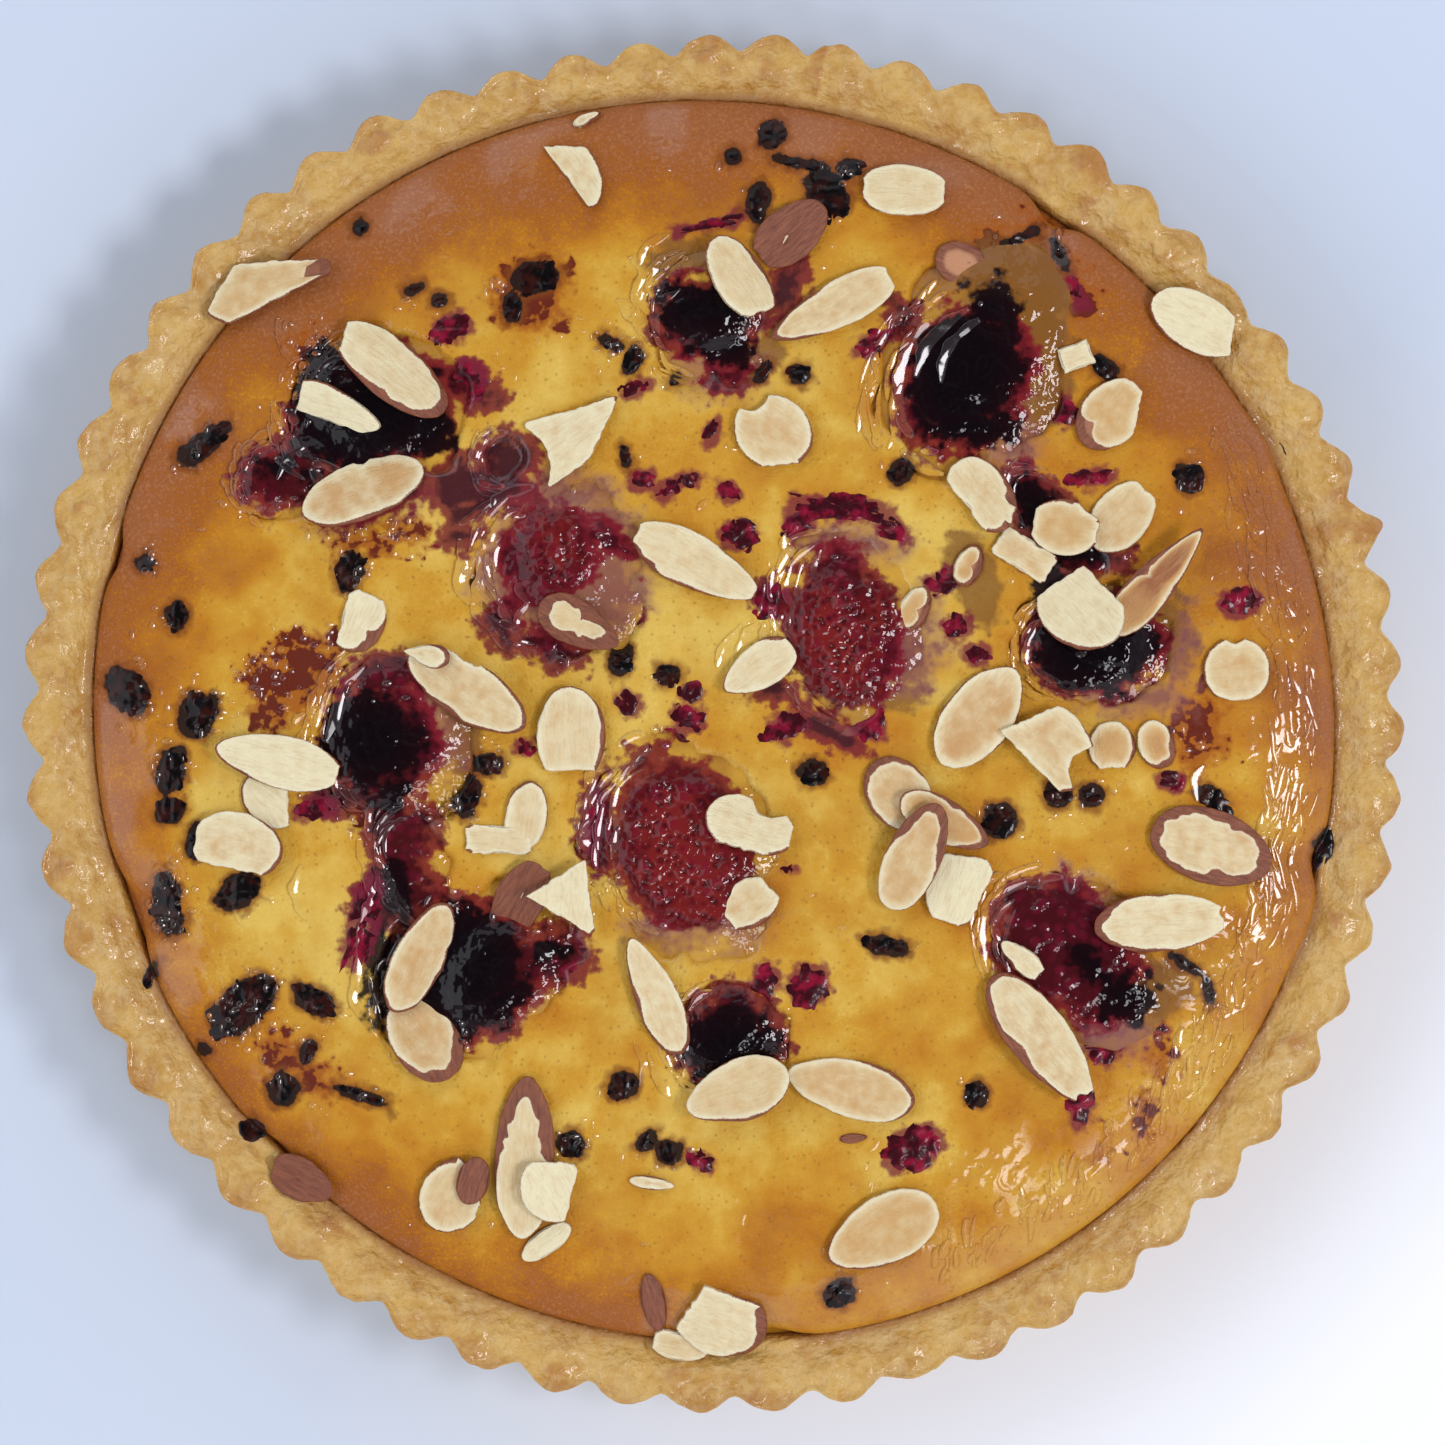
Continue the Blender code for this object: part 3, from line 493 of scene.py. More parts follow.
BURNT_BITS = (
    (-63.9, 89.4, 1.3, 1.2, 0), (-92.3, 50.1, 5.6, 2, 35), (-54.2, 78.2, 1.6, 0.9, 20),
    (-49.7, 75.8, 1.5, 1.1, 0), (10.5, 106.3, 2.7, 2.3, 60), (3.3, 102.1, 1.5, 1.3, 0),
    (7.8, 93.6, 3.6, 2, 85), (15.6, 100.9, 5.5, 1.1, -12), (24.7, 100, 2.8, 2, 20),
    (-32.1, 80, 4.4, 2.8, 10), (-36.3, 74.6, 2.8, 1.5, 80), (-18.5, 68.2, 2.6, 1.3, -30),
    (-14.8, 65, 2.7, 2, 70), (-7.1, 61.9, 1.6, 1.1, 60), (15.1, 62.8, 2.2, 1.8, 0),
    (8.9, 63.1, 2.2, 1.1, 50), (-16.1, 47.9, 2.1, 1.1, -70), (33.7, 45, 2.4, 2.1, 30),
    (70.6, 64, 2.8, 1.7, -45), (85.8, 44.1, 2.7, 2.5, 0), (103.6, 51, 4.2, 1.3, -58),
    (55.6, 87.6, 3.8, 1.1, 28), (62.5, 84.5, 3.2, 0.9, -65), (-102.9, 28.7, 1.8, 1.5, 0),
    (-97.4, 19.2, 2.8, 1.9, 80), (-106.5, 5.5, 4.8, 3.6, -50), (-93.2, 1.1, 4.3, 3.3, 60),
    (-98.3, -8.9, 4.6, 2.5, 75), (-98.3, -16.1, 2.9, 2.4, 0), (-93.8, -21.6, 3.1, 1.7, 80),
    (-99, -33, 5.9, 3, 100), (-86, -30.7, 4.6, 2.8, 35), (-65.5, 27, 3.6, 2.6, 70),
    (-40.6, -7.4, 2.5, 2.2, 0), (-44.3, -13.8, 3.7, 2.3, 72), (-85.1, -51.5, 7, 4, 42),
    (-72.4, -50.6, 4.4, 2, -35), (-77.8, -66.6, 2.9, 2.5, 60), (-73.3, -59.7, 2.6, 1.4, 70),
    (-64, -67.6, 5, 1.1, -18), (-83.6, -74.2, 2.2, 2, 0), (-92.3, -59.7, 1, 0.8, 0),
    (-102.3, -46, 2.6, 1, 70), (-25.8, -76.5, 2.5, 2.3, 0), (-16.5, -66, 2.7, 2.2, 30),
    (-12, -75.8, 2.3, 1.6, 40), (-8, -77.9, 2.5, 1.9, -20), (31, -40.6, 4.2, 1.7, -12),
    (47.3, -67.5, 2.4, 2.2, 0), (22.9, -103.6, 2.9, 2.7, 0), (18, -9.3, 2.7, 2.4, 0),
    (-8, 8.3, 2.3, 2, 0), (-16.7, 11.1, 3.1, 2, 80), (62.2, -13.4, 2.4, 2, 0),
    (68.2, -13.4, 2.4, 2.1, 0), (51.5, -18, 3, 2.9, 0), (90, -14.3, 3.6, 2, -35),
    (110.6, -22.9, 3.4, 1.6, 75), (86, -44.2, 3.6, 0.7, -35), (89.5, -48.5, 2.8, 0.7, -75),
    (20.1, 95.4, 4.4, 3.7, -60),
)
WINE_BITS = (
    (-47.9, 70.9, 4.2, 2.6, 20), (1, 90.2, 7.6, 1.2, 14), (-14.1, 60.4, 3, 1.6, 10),
    (28.3, 67.3, 2.4, 2, 0), (-0.2, 52.8, 3.2, 1.5, 65), (-12.5, 43.5, 2.6, 2, 0),
    (-8.5, 41.8, 2.6, 1.9, 30), (-4.6, 43.8, 2.4, 1.6, 0), (2.6, 41.2, 3, 1.8, -20),
    (4.7, 33.7, 3.4, 2.9, 0), (-46.5, 60.5, 5.5, 4.2, 20), (23, 38.6, 9.5, 2.6, -6),
    (15.5, 35.6, 3.4, 2.6, 60), (32, 34.5, 3.6, 2, -40), (10.5, 22, 3.6, 2.7, 20),
    (12.7, -1, 4.2, 2.6, 20), (27.5, 0.5, 5.4, 3.4, -55), (44.1, 17.1, 2.8, 2.5, 0),
    (47.9, 12, 2.6, 2, 0), (41.2, 25, 3.2, 2.2, 20), (-4, 5.1, 2.4, 2, 0), (-4.4, 0.3, 3.3, 2.6, -30),
    (-8, -3.6, 3.2, 2.4, 30), (-15.8, 3.3, 2.5, 2.1, 0), (-14, 18.7, 1.9, 1.5, 0),
    (-34.3, -4.4, 2.2, 1.7, 0), (-72.7, -15.8, 4.6, 2, 10), (-63.5, -37, 9.5, 2.8, 78),
    (-29.5, -42.5, 5.4, 4.4, 30), (-21.4, -20.5, 8, 2.2, 85), (16.9, -47.9, 4.4, 3.7, 80),
    (9.3, -47, 3.3, 2.5, 70), (35.9, -77.3, 5.4, 4, 35), (-2.5, -79.4, 3, 2, -25),
    (13.2, -26.7, 1.9, 1.3, 0), (29.5, 68.5, 4.6, 2.2, 25), (41.5, 47.5, 4, 1.8, -10),
    (62.4, 56.5, 4.2, 2.2, -25), (68.2, 43.9, 4.8, 1.9, 5), (82.7, -10.7, 2.6, 1.8, 0),
    (70.5, -59.5, 3, 2.8, 0), (66.4, -69.7, 3.8, 2.7, 80), (80.9, -55.4, 1.5, 1.1, 0),
    (95.5, 21.5, 4.3, 2.7, 10), (65.2, 78.5, 3.6, 1.1, -70),
)
SCORCHES = (
    (-76, 7.4, 10, 6.5, 35), (87.6, -2.5, 7, 5, 80), (80.9, -61.5, 2.6, 2.2, 0),
    (77.3, -71.5, 3.2, 1.2, 80), (69.1, -78.7, 1.4, 1.2, 0), (-75, -62.5, 7.5, 2.8, -38),
    (-60, 33, 8, 2.4, 12), (56.5, 89.6, 5.5, 2.6, 4), (50.5, 86.4, 4.6, 2.4, 52),
    (62.6, 84.8, 4.4, 2.4, -62), (66.2, 77, 4.6, 2.4, -82), (-72, 62, 4, 9, 20),
    (-33, 76.5, 7, 6.5, 30),
)


def hollow_depth(x, y):
    """How far the fruit hollows lower the filling: inside an oval of size 1.06 it falls by
    t * t * (3 - 2 t) of the full depth within a quarter of the oval's size. Noise frays it."""
    places = at_zero(x, y)
    fray = 0.2 * noise(places, 8.0, 51) + 0.12 * noise(places, 2.8, 52)
    deepest = 0.0 * x
    for middle_x, middle_y, half_length, half_width, turn, depth in HOLLOWS:
        along, across = turned(x - middle_x, y - middle_y, -turn)
        out = np.hypot(along / half_length, across / half_width)
        deepest = np.maximum(deepest, depth * step(1.06, 0.8, out + fray))
    return deepest


def smooth_top(x, y):
    """The filling's top before any fruit: lip + rise * sqrt(1 - out^7) + dome + three swells."""
    out = np.minimum(1.0, share_out(x, y))
    swells = ((0.021, 0.013, 0.6, 0.45), (-0.017, 0.027, 2.1, 0.4), (0.034, -0.029, 4.0, 0.3))
    swell = sum(high * np.sin(a * x + b * y + phase) for a, b, phase, high in swells)
    shoulder = SHOULDER_RISE * np.sqrt(np.maximum(0.0, 1.0 - out**7))
    return LIP_HEIGHT + shoulder + DOME_RISE * (1.0 - out**2) + swell * (1.0 - out**12)


def edge_folds(x, y):
    """Puffed folds of skin along the edge: height * (|noise| - 0.3), whose lumps are three times
    as long along the edge as across it, in a band from 1 to 15 mm inside the edge."""
    angle = np.arctan2(y, x)
    depth = fill_edge(np.degrees(angle)) - np.hypot(x, y)
    stretched = np.stack([37.0 * np.cos(angle), 37.0 * np.sin(angle), depth], -1)
    lumps = np.abs(noise(stretched, 3.4, 63)) + 0.4 * np.abs(noise(stretched, 1.7, 64)) - 0.3
    highest = ((325.0, 0.5, 48.0), (12.0, 0.4, 22.0), (240.0, 0.2, 30.0))
    high = 0.16 + bells(np.degrees(angle), highest)
    return high * lumps * step(15.0, 7.0, depth) * step(0.6, 2.4, depth)


def fill_height(x, y):
    """The filling's top: smooth top, less the hollows, plus lumps of its skin, fading out at the
    edge, where out = 1, by 1 - out^14."""
    places = at_zero(x, y)
    out = share_out(x, y)
    skin = 0.14 * rough(places, 6.0, 61) + 0.07 * rough(places, 1.8, 62)
    return smooth_top(x, y) + (1.0 - out**14) * (skin + edge_folds(x, y) - hollow_depth(x, y))


# %% [markdown]
# ## The almond filling
#
# Frangipane is butter, sugar, egg and ground almond: it bakes to a fine sponge with a thin brown
# skin. Its top is a height over every point of a disc. The disc is a square grid bent round: the
# ring that a point is on is the larger of its two coordinates, and its place along that side
# gives the angle. That keeps the faces the same size everywhere, which a grid of rings and
# spokes does not.

# %% The filling's top, side and underside
FILL_GRID = 309


def bent_square(count):
    """Radius (0 to 1) and angle of the points of a square grid bent to a disc: radius = larger of
    |u| and |v|, and angle = 45 degrees * (smaller / larger), counted from that side's middle."""
    u, v = np.meshgrid(np.linspace(-1.0, 1.0, count), np.linspace(-1.0, 1.0, count), indexing="ij")
    wide = np.abs(u) >= np.abs(v)
    larger, smaller = np.where(wide, u, v), np.where(wide, v, -u)
    safe = np.where(larger == 0.0, 1.0, larger)
    base = np.where(wide, 0.0, 90.0) + np.where(larger < 0.0, 180.0, 0.0)
    return np.abs(larger), (base + 45.0 * smaller / safe) % 360.0


def square_rim(count):
    """The grid's outermost points, in order round the square, anticlockwise."""
    index = np.arange(count * count).reshape(count, count)
    return np.concatenate([index[-1, :-1], index[::-1, -1][:-1], index[0, ::-1][:-1], index[:-1, 0]])


grid_ring, grid_angle = bent_square(FILL_GRID)
grid_radius = (1.0 - (1.0 - grid_ring) ** 1.06) * (fill_edge(grid_angle) - 0.3)
fill_x, fill_y = turned_out(grid_radius, grid_angle)
fill_z = fill_height(fill_x, fill_y)
fill_rim = square_rim(FILL_GRID)
rim_angle = grid_angle.ravel()[fill_rim]
rim_rows = [
    (fill_edge(rim_angle) - 0.4, LIP_HEIGHT - 0.2),
    (case_inside(rim_angle) - GAP, RIM_HEIGHT - 3.0),
    (case_inside(rim_angle) - 4.0 - GAP, CASE_FLOOR + GAP),
]
rim_points = [
    np.stack([*turned_out(radius, rim_angle), np.full(len(rim_angle), high)], -1)
    for radius, high in rim_rows
]
print("filling grid:", fill_z.shape, "height", fill_z.min().round(1), "to", fill_z.max().round(1))

# %% [markdown]
# ## The finish of the filling
#
# The photograph's filling is brown where its edge caught the heat, gold further in and yellow in
# the middle, and the fruit has stained it wine red around each hollow. So the colour is built in
# layers, from the sponge upwards: yellow to brown by how much it has baked, then scorched sugar,
# wine stains, the mauve film where juice has dried, and burnt skins on top. Each layer's edge is
# a distance kept on the points, frayed by noise in the material. A thin fruit glaze was brushed
# over it and has pulled into ridges: that is the clear coat, with its own bumps.

# %% How baked, how wet and how near to fruit
# Where the oven was hotter or cooler round the edge, and at 316 degrees a paler stretch that is
# a painted sheen of the glaze: angle, by how much, half width in degrees.
OVEN_HEAT_AND_SHEEN = ((243.0, 0.2, 17.0), (42.0, 0.12, 14.0), (188.0, -0.12, 22.0), (316.0, -0.3, 32.0))
# Warm and pale stretches inside the edge; the largest, at the right, is painted shade that darkens
# the side the window lights most: by how much, middle x and y, half sizes.
WARM_STRETCHES_AND_SHADE = ((0.3, 68.0, -34.0, 52.0, 64.0), (0.14, 74.0, 48.0, 30.0, 26.0))
WARM_STRETCHES_AND_SHADE += ((0.12, 0.0, -92.0, 40.0, 18.0), (-0.12, -70.0, -20.0, 20.0, 50.0))
# Where the glaze lies thick along the edge.
WET = ((325.0, 1.0, 48.0), (12.0, 0.8, 22.0))


def toastedness(x, y):
    """How brown the skin is, 0 to 1: largest at the edge, falling by exp(-(depth / reach)^1.5),
    and stronger where the oven was hotter. It is painted paler at the lower right edge, a painted
    sheen, and darker inside the right-hand side, painted shade."""
    angle, depth = edge_place(x, y)
    # This also carries the painted sheen at the lower right edge.
    heat_and_sheen = 0.68 + 0.32 * np.cos(np.radians(angle - 120.0)) + bells(angle, OVEN_HEAT_AND_SHEEN)
    reach = 17.0 + 5.0 * np.cos(np.radians(angle - 105.0))
    places = at_zero(x, y)
    patches = 0.16 * rough(places, 15.0, 71) + 0.07 * noise(places, 5.0, 72)
    # The largest stretch, at the right, is painted shade against the window's light.
    warmth_and_shade = 0.03
    for most, warm_x, warm_y, half_x, half_y in WARM_STRETCHES_AND_SHADE:
        warmth_and_shade = warmth_and_shade + most * np.exp(-(((x - warm_x) / half_x) ** 2) - ((y - warm_y) / half_y) ** 2)
    edge = heat_and_sheen * np.exp(-((np.maximum(depth, 0.0) / reach) ** 1.5))
    return np.clip(edge + patches + warmth_and_shade, 0.0, 1.1)


def wetness(x, y):
    """Where glaze lies thick, 0 to 1: along the right-hand edge, and in patches."""
    angle, depth = edge_place(x, y)
    along_edge = bells(angle, WET) * step(14.0, 5.0, depth)
    patches = step(0.05, 0.5, noise(at_zero(x, y), 9.0, 73)) * 0.7
    return np.clip(along_edge + patches, 0.0, 1.0)


# Clear jelly over the filling, mauve film of dried juice, wine-red juice and black juice.
JELLY = (
    (-5, 83.5, 6.5, 4, 0), (55, 79, 10, 8.5, -30), (58.5, 64, 6, 13, -8), (82, 15.5, 4.6, 7.5, 0),
    (80, -49.5, 6.5, 5.5, 0), (-40.5, 47, 2.2, 4.4, 10), (32.5, 4.5, 5, 3, 0), (47, 25.5, 4.5, 9, 20),
    (-52, -56, 4, 3, 20), (10, 68, 3.4, 5, 0), (-45, -4, 4, 8, 20), (35, 13, 4, 7, 0),
)
MAUVE_FILM = (
    (-27, 27, 16.5, 14.5, 0), (-31, 41, 13, 5, 0), (1, 64.5, 9.5, 6, 0), (33, 12.5, 9, 8, 0),
    (25, 31.5, 10, 4.5, 0), (38, 19, 4, 6, 0), (75, 4.5, 11, 3.6, 0), (84, 12, 2, 9, -15),
    (-3, -36.5, 13, 4, 0), (66, -32, 8, 3.2, -45), (72, -57, 6, 4, 0), (-52, 1, 6.5, 11, 20),
    (-60, 39.5, 13, 2.4, 12), (54, 50, 6, 5, 30),
)
WINE_JUICE = (
    (-47, 42.5, 5, 5.5, 40), (-44, 60, 6, 3.4, -20), (-63, 41.5, 12, 4.2, 12), (-38, 47, 5.5, 6, 0),
    (-29.5, 30, 9, 8.5, 0), (-38, 17, 4, 4, 0), (-30, 13.6, 7.5, 3, -20), (-45, 33.5, 4, 2.3, 0),
    (-18.5, 32, 6, 1.7, -25), (-41, 39.5, 8, 2.6, 25), (13.5, 79, 5, 2.4, 60), (34, 72, 4.2, 2.8, 20),
    (2, 62.5, 4.5, 3, 0), (23.5, 17, 10, 14.5, 10), (11, 22.5, 3.6, 2.2, 0), (11, 6, 4.2, 2.6, 0),
    (21, -2, 7.5, 2.6, -30), (69, 14, 12.6, 9.6, 0), (59.5, 37, 10.5, 5.2, -50), (66, 29, 9, 3.6, 0),
    (-59, 8, 7, 4.4, 0), (-68, -13.5, 6.5, 3, 10), (-60, -4, 10.5, 11, 0), (-57, -20, 8.5, 6.5, -60),
    (-57, -31, 8, 7, 30), (-28.5, -42, 6, 5.6, 20), (-45, -45, 15, 13, 0),
    (-6.5, -21.8, 12.5, 14.6, 10), (-21, -18.5, 3.6, 8.5, 0), (-12, -6, 4, 2.4, 40), (3, -57, 10, 9, 0),
    (64, -41.5, 15.5, 11, -42), (45, 62, 12, 14.5, -25), (-62, 55, 16, 11, 20), (-77, 45, 9.2, 6.4, 15),
    (-1, 73, 10.4, 8, 0),
)
BLACK_JUICE = (
    (-62, 55, 14, 8.5, 20), (-71, 61.5, 4.6, 7, -30), (-52, 53.5, 5, 6.5, 0), (-79, 46, 3.6, 2.4, 15),
    (-73, 44.5, 3, 1.8, 15), (-2, 74.5, 9, 5.5, 0), (2, 67.5, 6, 3.6, 0), (45, 63, 9.8, 12, -20),
    (50, 75, 5.5, 5, 0), (46.5, 53, 8.5, 4.2, 0), (69, 12.5, 11, 7.6, 0), (61, 24.5, 3, 6.5, 10),
    (57.5, 39, 4.6, 3, -50), (66.5, 30.5, 7, 1.8, 0), (-62, -3.5, 8.8, 8.2, 0),
    (-57.5, -13.5, 2.6, 3.4, -20), (-46, -44, 11.5, 10.5, 0), (-60.5, -46, 3.4, 10, 0),
    (-41, -51.5, 8.5, 3.4, 25), (-58, -31, 5, 3.4, -50), (3, -58.5, 8.4, 7, 0), (69, -45, 6, 2.2, -45),
    (75, -49.5, 5.4, 4.4, 0), (-29, -41, 3, 2.6, 0),
)
# The red flesh of the strawberries, under the juice.
STRAWBERRIES = (
    (-28.5, 30.5, 8.2, 6.8, 100), (21.5, 14.5, 13.5, 8.5, 105), (29, 20, 5, 6.5, 0),
    (-5.2, -23.4, 15.2, 11.6, 115),
)


STAINS = {"burnt": BURNT_BITS, "wine": WINE_BITS, "scorch": SCORCHES, "jelly": JELLY}
STAINS |= {"film": MAUVE_FILM, "red": WINE_JUICE, "black": BLACK_JUICE, "fruit": STRAWBERRIES}


def surface_values(x, y, names=("wet", *STAINS)):
    """What the materials read at each place: how baked, how wet, and the distances to stains."""
    kept = {"toast": toastedness(x, y)}
    for name in names:
        kept[name] = wetness(x, y) if name == "wet" else nearest(x, y, STAINS[name])
    return {name: value.ravel() for name, value in kept.items()}


fill_values = surface_values(fill_x, fill_y)

# %% Stains laid over a colour
def stained(tree, colour, layer, noises, stains):
    """Lays stains over a colour. Each has the distance kept on the points, how far in mm noise
    moves its edge, the distances over which it fades in, its strength and its colour. The edge
    moves by coarse noise, by 0.8 of it in finer noise, and a little by round clots."""
    coarse, fine, clots = noises
    for kept, reach, outer, full, most, new in stains:
        moves = [(coarse, reach, 0.5), (fine, 0.8 * reach, 0.5), (clots, 0.16 * reach, 0.4)]
        edge = shifted(tree, layer[kept], moves)
        colour = over(tree, colour, [(edge, outer, full, most, new, SMOOTH)])
    return colour


# What the distances of juice and of bits become: the outermost colour first.
JUICE_STAINS = (
    ("jelly", 8.0, 1.8, -1.2, 0.8, "#805222"),
    ("film", 10.0, 3.0, -2.4, 0.66, "#925a52"),
    ("film", 18.0, -1.0, -4.5, 0.5, "#783e4a"),
    ("red", 8.0, 2.0, 0.4, 0.9, "#7a0c24"),
    ("red", 9.0, 0.2, -2.6, 0.9, "#3c0812"),
    ("fruit", 6.0, 1.0, -1.8, 0.9, "#5c1016"),
    ("fruit", 14.0, 0.0, -6.0, 0.6, "#8a2622"),
    ("black", 10.0, 1.4, -0.8, 0.97, "#150509"),
)
SCORCH_STAINS = (
    ("scorch", 12.0, 2.6, -0.6, 0.85, "#a4550d"),
    ("scorch", 24.0, -0.6, -2.4, 0.97, "#651c08"),
)
BIT_STAINS = (
    ("wine", 5.0, 1.1, -0.5, 0.85, "#7a1230"),
    ("burnt", 4.2, 1.9, 0.2, 0.8, "#7e400c"),
    ("burnt", 2.6, 0.4, 0.0, 0.95, "#1a0906"),
)

# %% Baked almond sponge
sponge, tree, shader, place, layer = new_material("baked_almond_sponge", fill_values)
# Ground almond 0.6 mm across, fraying 2.4 mm and 6 mm across, slow drifts of 26 mm, and clots
# 1.7 mm apart.
sizes = ((1700.0, 3.0), (420.0, 5.0), (165.0, 4.0), (38.0, 2.0))
crumb, fray, drift, slow = textures(tree, place, "TexNoise", *sizes)
clots = add(tree, "TexVoronoi", {"Vector": place, "Scale": 600.0})
baked = shifted(tree, layer["toast"], [(drift, 0.5, 0.5), (fray, 0.22, 0.5), (slow, 0.7, 0.5)])
grain = add(tree, "Math", {0: crumb, 1: 1.5, 2: -0.75}, MULTIPLY_ADD)
grain = add(tree, "Math", {0: grain, 1: layer["toast"]}, TIMES)
baked = add(tree, "Math", {0: baked, 1: grain}, PLUS)
crisp = add(tree, "MapRange", {0: layer["toast"], 1: 0.2, 2: 0.8, 4: 0.38})
pale = add(tree, "MapRange", {0: layer["toast"], 1: 0.1, 2: 0.6, 3: 0.4, 4: 0.0})
# As it bakes it turns from yellow to gold, amber, brown, and the rosy brown of the skin next to the
# tin. Then come crisp crumbs, pale crumbs, and painted shade in the pits.
colour = over(
    tree,
    "#e2bd58",
    [
        (baked, -0.1, 0.12, 1.0, "#d09a2c"),
        (baked, 0.1, 0.36, 1.0, "#c07a12"),
        (baked, 0.34, 0.66, 1.0, "#a25a18"),
        (baked, 0.64, 0.98, 1.0, "#9f5f36"),
        (crumb, 0.52, 0.66, crisp, "#c4854a"),
        (crumb, 0.42, 0.7, pale, "#dcae4a"),
        (clots, 0.24, 0.06, 0.4, "#8a4e1c"),
    ],
)
noises = (drift, fray, clots)
colour = stained(tree, colour, layer, noises, SCORCH_STAINS + JUICE_STAINS + BIT_STAINS)
height = add(tree, "Math", {0: fray, 1: 1.4, 2: crumb}, MULTIPLY_ADD)
bump = add(tree, "Bump", {"Strength": 0.6, "Distance": 0.0005, "Height": height})
# The glaze: ridged noise 3 mm across where it lies thick, and a coat over all the wine juice.
size = {"Vector": place, "Scale": 300.0, "Detail": 1.4, "Distortion": 1.4}
ridges = add(tree, "TexNoise", size, {"noise_type": "RIDGED_MULTIFRACTAL"})
swell = add(tree, "Math", {0: ridges, 1: layer["wet"]}, TIMES)
coat_bump = add(tree, "Bump", {"Strength": 0.5, "Distance": 0.0003, "Height": swell})
dark = add(tree, "MapRange", {0: layer["red"], 1: 1.0, 2: -1.0}, SMOOTH)
gloss = add(tree, "MapRange", {0: layer["wet"], 1: 0.0, 2: 0.8, 3: 0.04, 4: 1.0})
gloss = add(tree, "Math", {0: gloss, 1: dark}, {"operation": "MAXIMUM"})
feed(tree, shader, {"Base Color": colour, "Normal": bump, "Roughness": 0.5})
feed(tree, shader, {"Specular IOR Level": 0.15, "Coat IOR": 1.5, "Coat Roughness": 0.08})
feed(tree, shader, {"Coat Weight": gloss, "Coat Normal": coat_bump})

# %% Make the filling
count = FILL_GRID * FILL_GRID
around = len(fill_rim)
lower_rings = [count + k * around + np.arange(around) for k in range(len(rim_points))]
index = np.arange(count).reshape(FILL_GRID, FILL_GRID)
top_quads = np.stack([index[:-1, :-1], index[1:, :-1], index[1:, 1:], index[:-1, 1:]], -1)
under = count + len(rim_points) * around
top_points = np.stack([fill_x, fill_y, fill_z], -1).reshape(-1, 3)
for key, value in fill_values.items():
    below = [value[fill_rim]] * len(rim_points)
    fill_values[key] = np.concatenate([value, *below, [0.0]])
filling = make_piece(
    "almond_filling",
    np.concatenate([top_points, *rim_points, [[0.0, 0.0, CASE_FLOOR + GAP]]]),
    np.concatenate([top_quads.reshape(-1, 4), bands([*lower_rings[::-1], fill_rim])]),
    ring_fan(lower_rings[-1][0], around, under, False),
    sponge,
    ["frangipane"],
    **fill_values,
)
print("filling faces:", len(filling.data.polygons))

# %% [markdown]
# ## Juice in the hollows
#
# Berries burst as they bake, and their juice sets in the hollows to a soft, glossy jelly: nearly
# black where it is deep and wine red where it thins out against the filling. Each pool is a
# slightly wavy lens lying at its own level, and where it dips under the filling the shore is as
# uneven as the filling is. The shapes of the stains are the same ones that colour the filling, so
# that a stain runs on from the filling into the pool.

# %% The berries' sizes
# Length, width, turn and number of beads; a strawberry has none.
BERRIES = {
    "strawberry_left": (16.5, 14.5, 100.0, 0),
    "strawberry_middle": (28.0, 20.0, 108.0, 0),
    "strawberry_lower": (31.5, 24.5, 115.0, 0),
    "dark_berry_top": (17.0, 14.5, 5.0, 34),
    "dark_berry_right": (32.0, 23.0, 62.0, 60),
    "dark_berry_left": (20.0, 14.5, -40.0, 40),
    "red_berry_left": (13.5, 10.5, 20.0, 60),
    "dark_berry_centre": (17.5, 13.0, 10.0, 34),
    "dark_berry_middle_left": (23.0, 19.0, 60.0, 40),
    "dark_berry_lower_left": (16.5, 14.5, 80.0, 26),
    "red_berry_low": (15.4, 13.2, 0.0, 70),
    "red_berry_right": (29.0, 19.0, -42.0, 50),
}
# Half a berry, as a share of its length or width; it swells a little over its solid's outline.
HALF_BERRY = 0.52


def berry_place(node):
    """A berry's middle seen from above, half its height, and the level its top has sunk to: that
    of the filling round it."""
    low, high = (np.array(corner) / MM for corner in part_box(node))
    x, y, half_height = (low[0] + high[0]) / 2.0, (low[1] + high[1]) / 2.0, (high[2] - low[2]) / 2.0
    return x, y, half_height, float(smooth_top(x, y))


BERRY_PLACES = {node: berry_place(node) for node in BERRIES}


def juice_over(x, y, node):
    """Height of the juice that clings to a berry: 0.45 mm over its top in the middle, falling by
    0.7 mm * out^4 towards the berry's outline, where out = 1."""
    middle_x, middle_y, _, level = BERRY_PLACES[node]
    length, width, turn, _ = BERRIES[node]
    along, across = turned(x - middle_x, y - middle_y, -turn)
    out = np.hypot(along / (HALF_BERRY * length), across / (HALF_BERRY * width))
    return level + 0.45 - 0.7 * out**4


def juice_height(x, y, below):
    """Height of juice that lies `below` mm under the filling's smooth top, with waves of 0.12 mm.
    Where a berry stands higher, the juice clings to it: (a + b + sqrt((a - b)^2 + 0.8)) / 2 of the
    level a and of the juice over the berry b."""
    places = at_zero(x, y)
    high = smooth_top(x, y) - below + 0.12 * rough(places, 7.0, 81)
    uneven = 0.26 * noise(places, 7.0, 83) + 0.12 * noise(places, 3.0, 84)
    for node in BERRIES:
        clings = juice_over(x, y, node) + uneven
        high = (high + clings + np.sqrt((high - clings) ** 2 + 0.8)) / 2.0
    return high


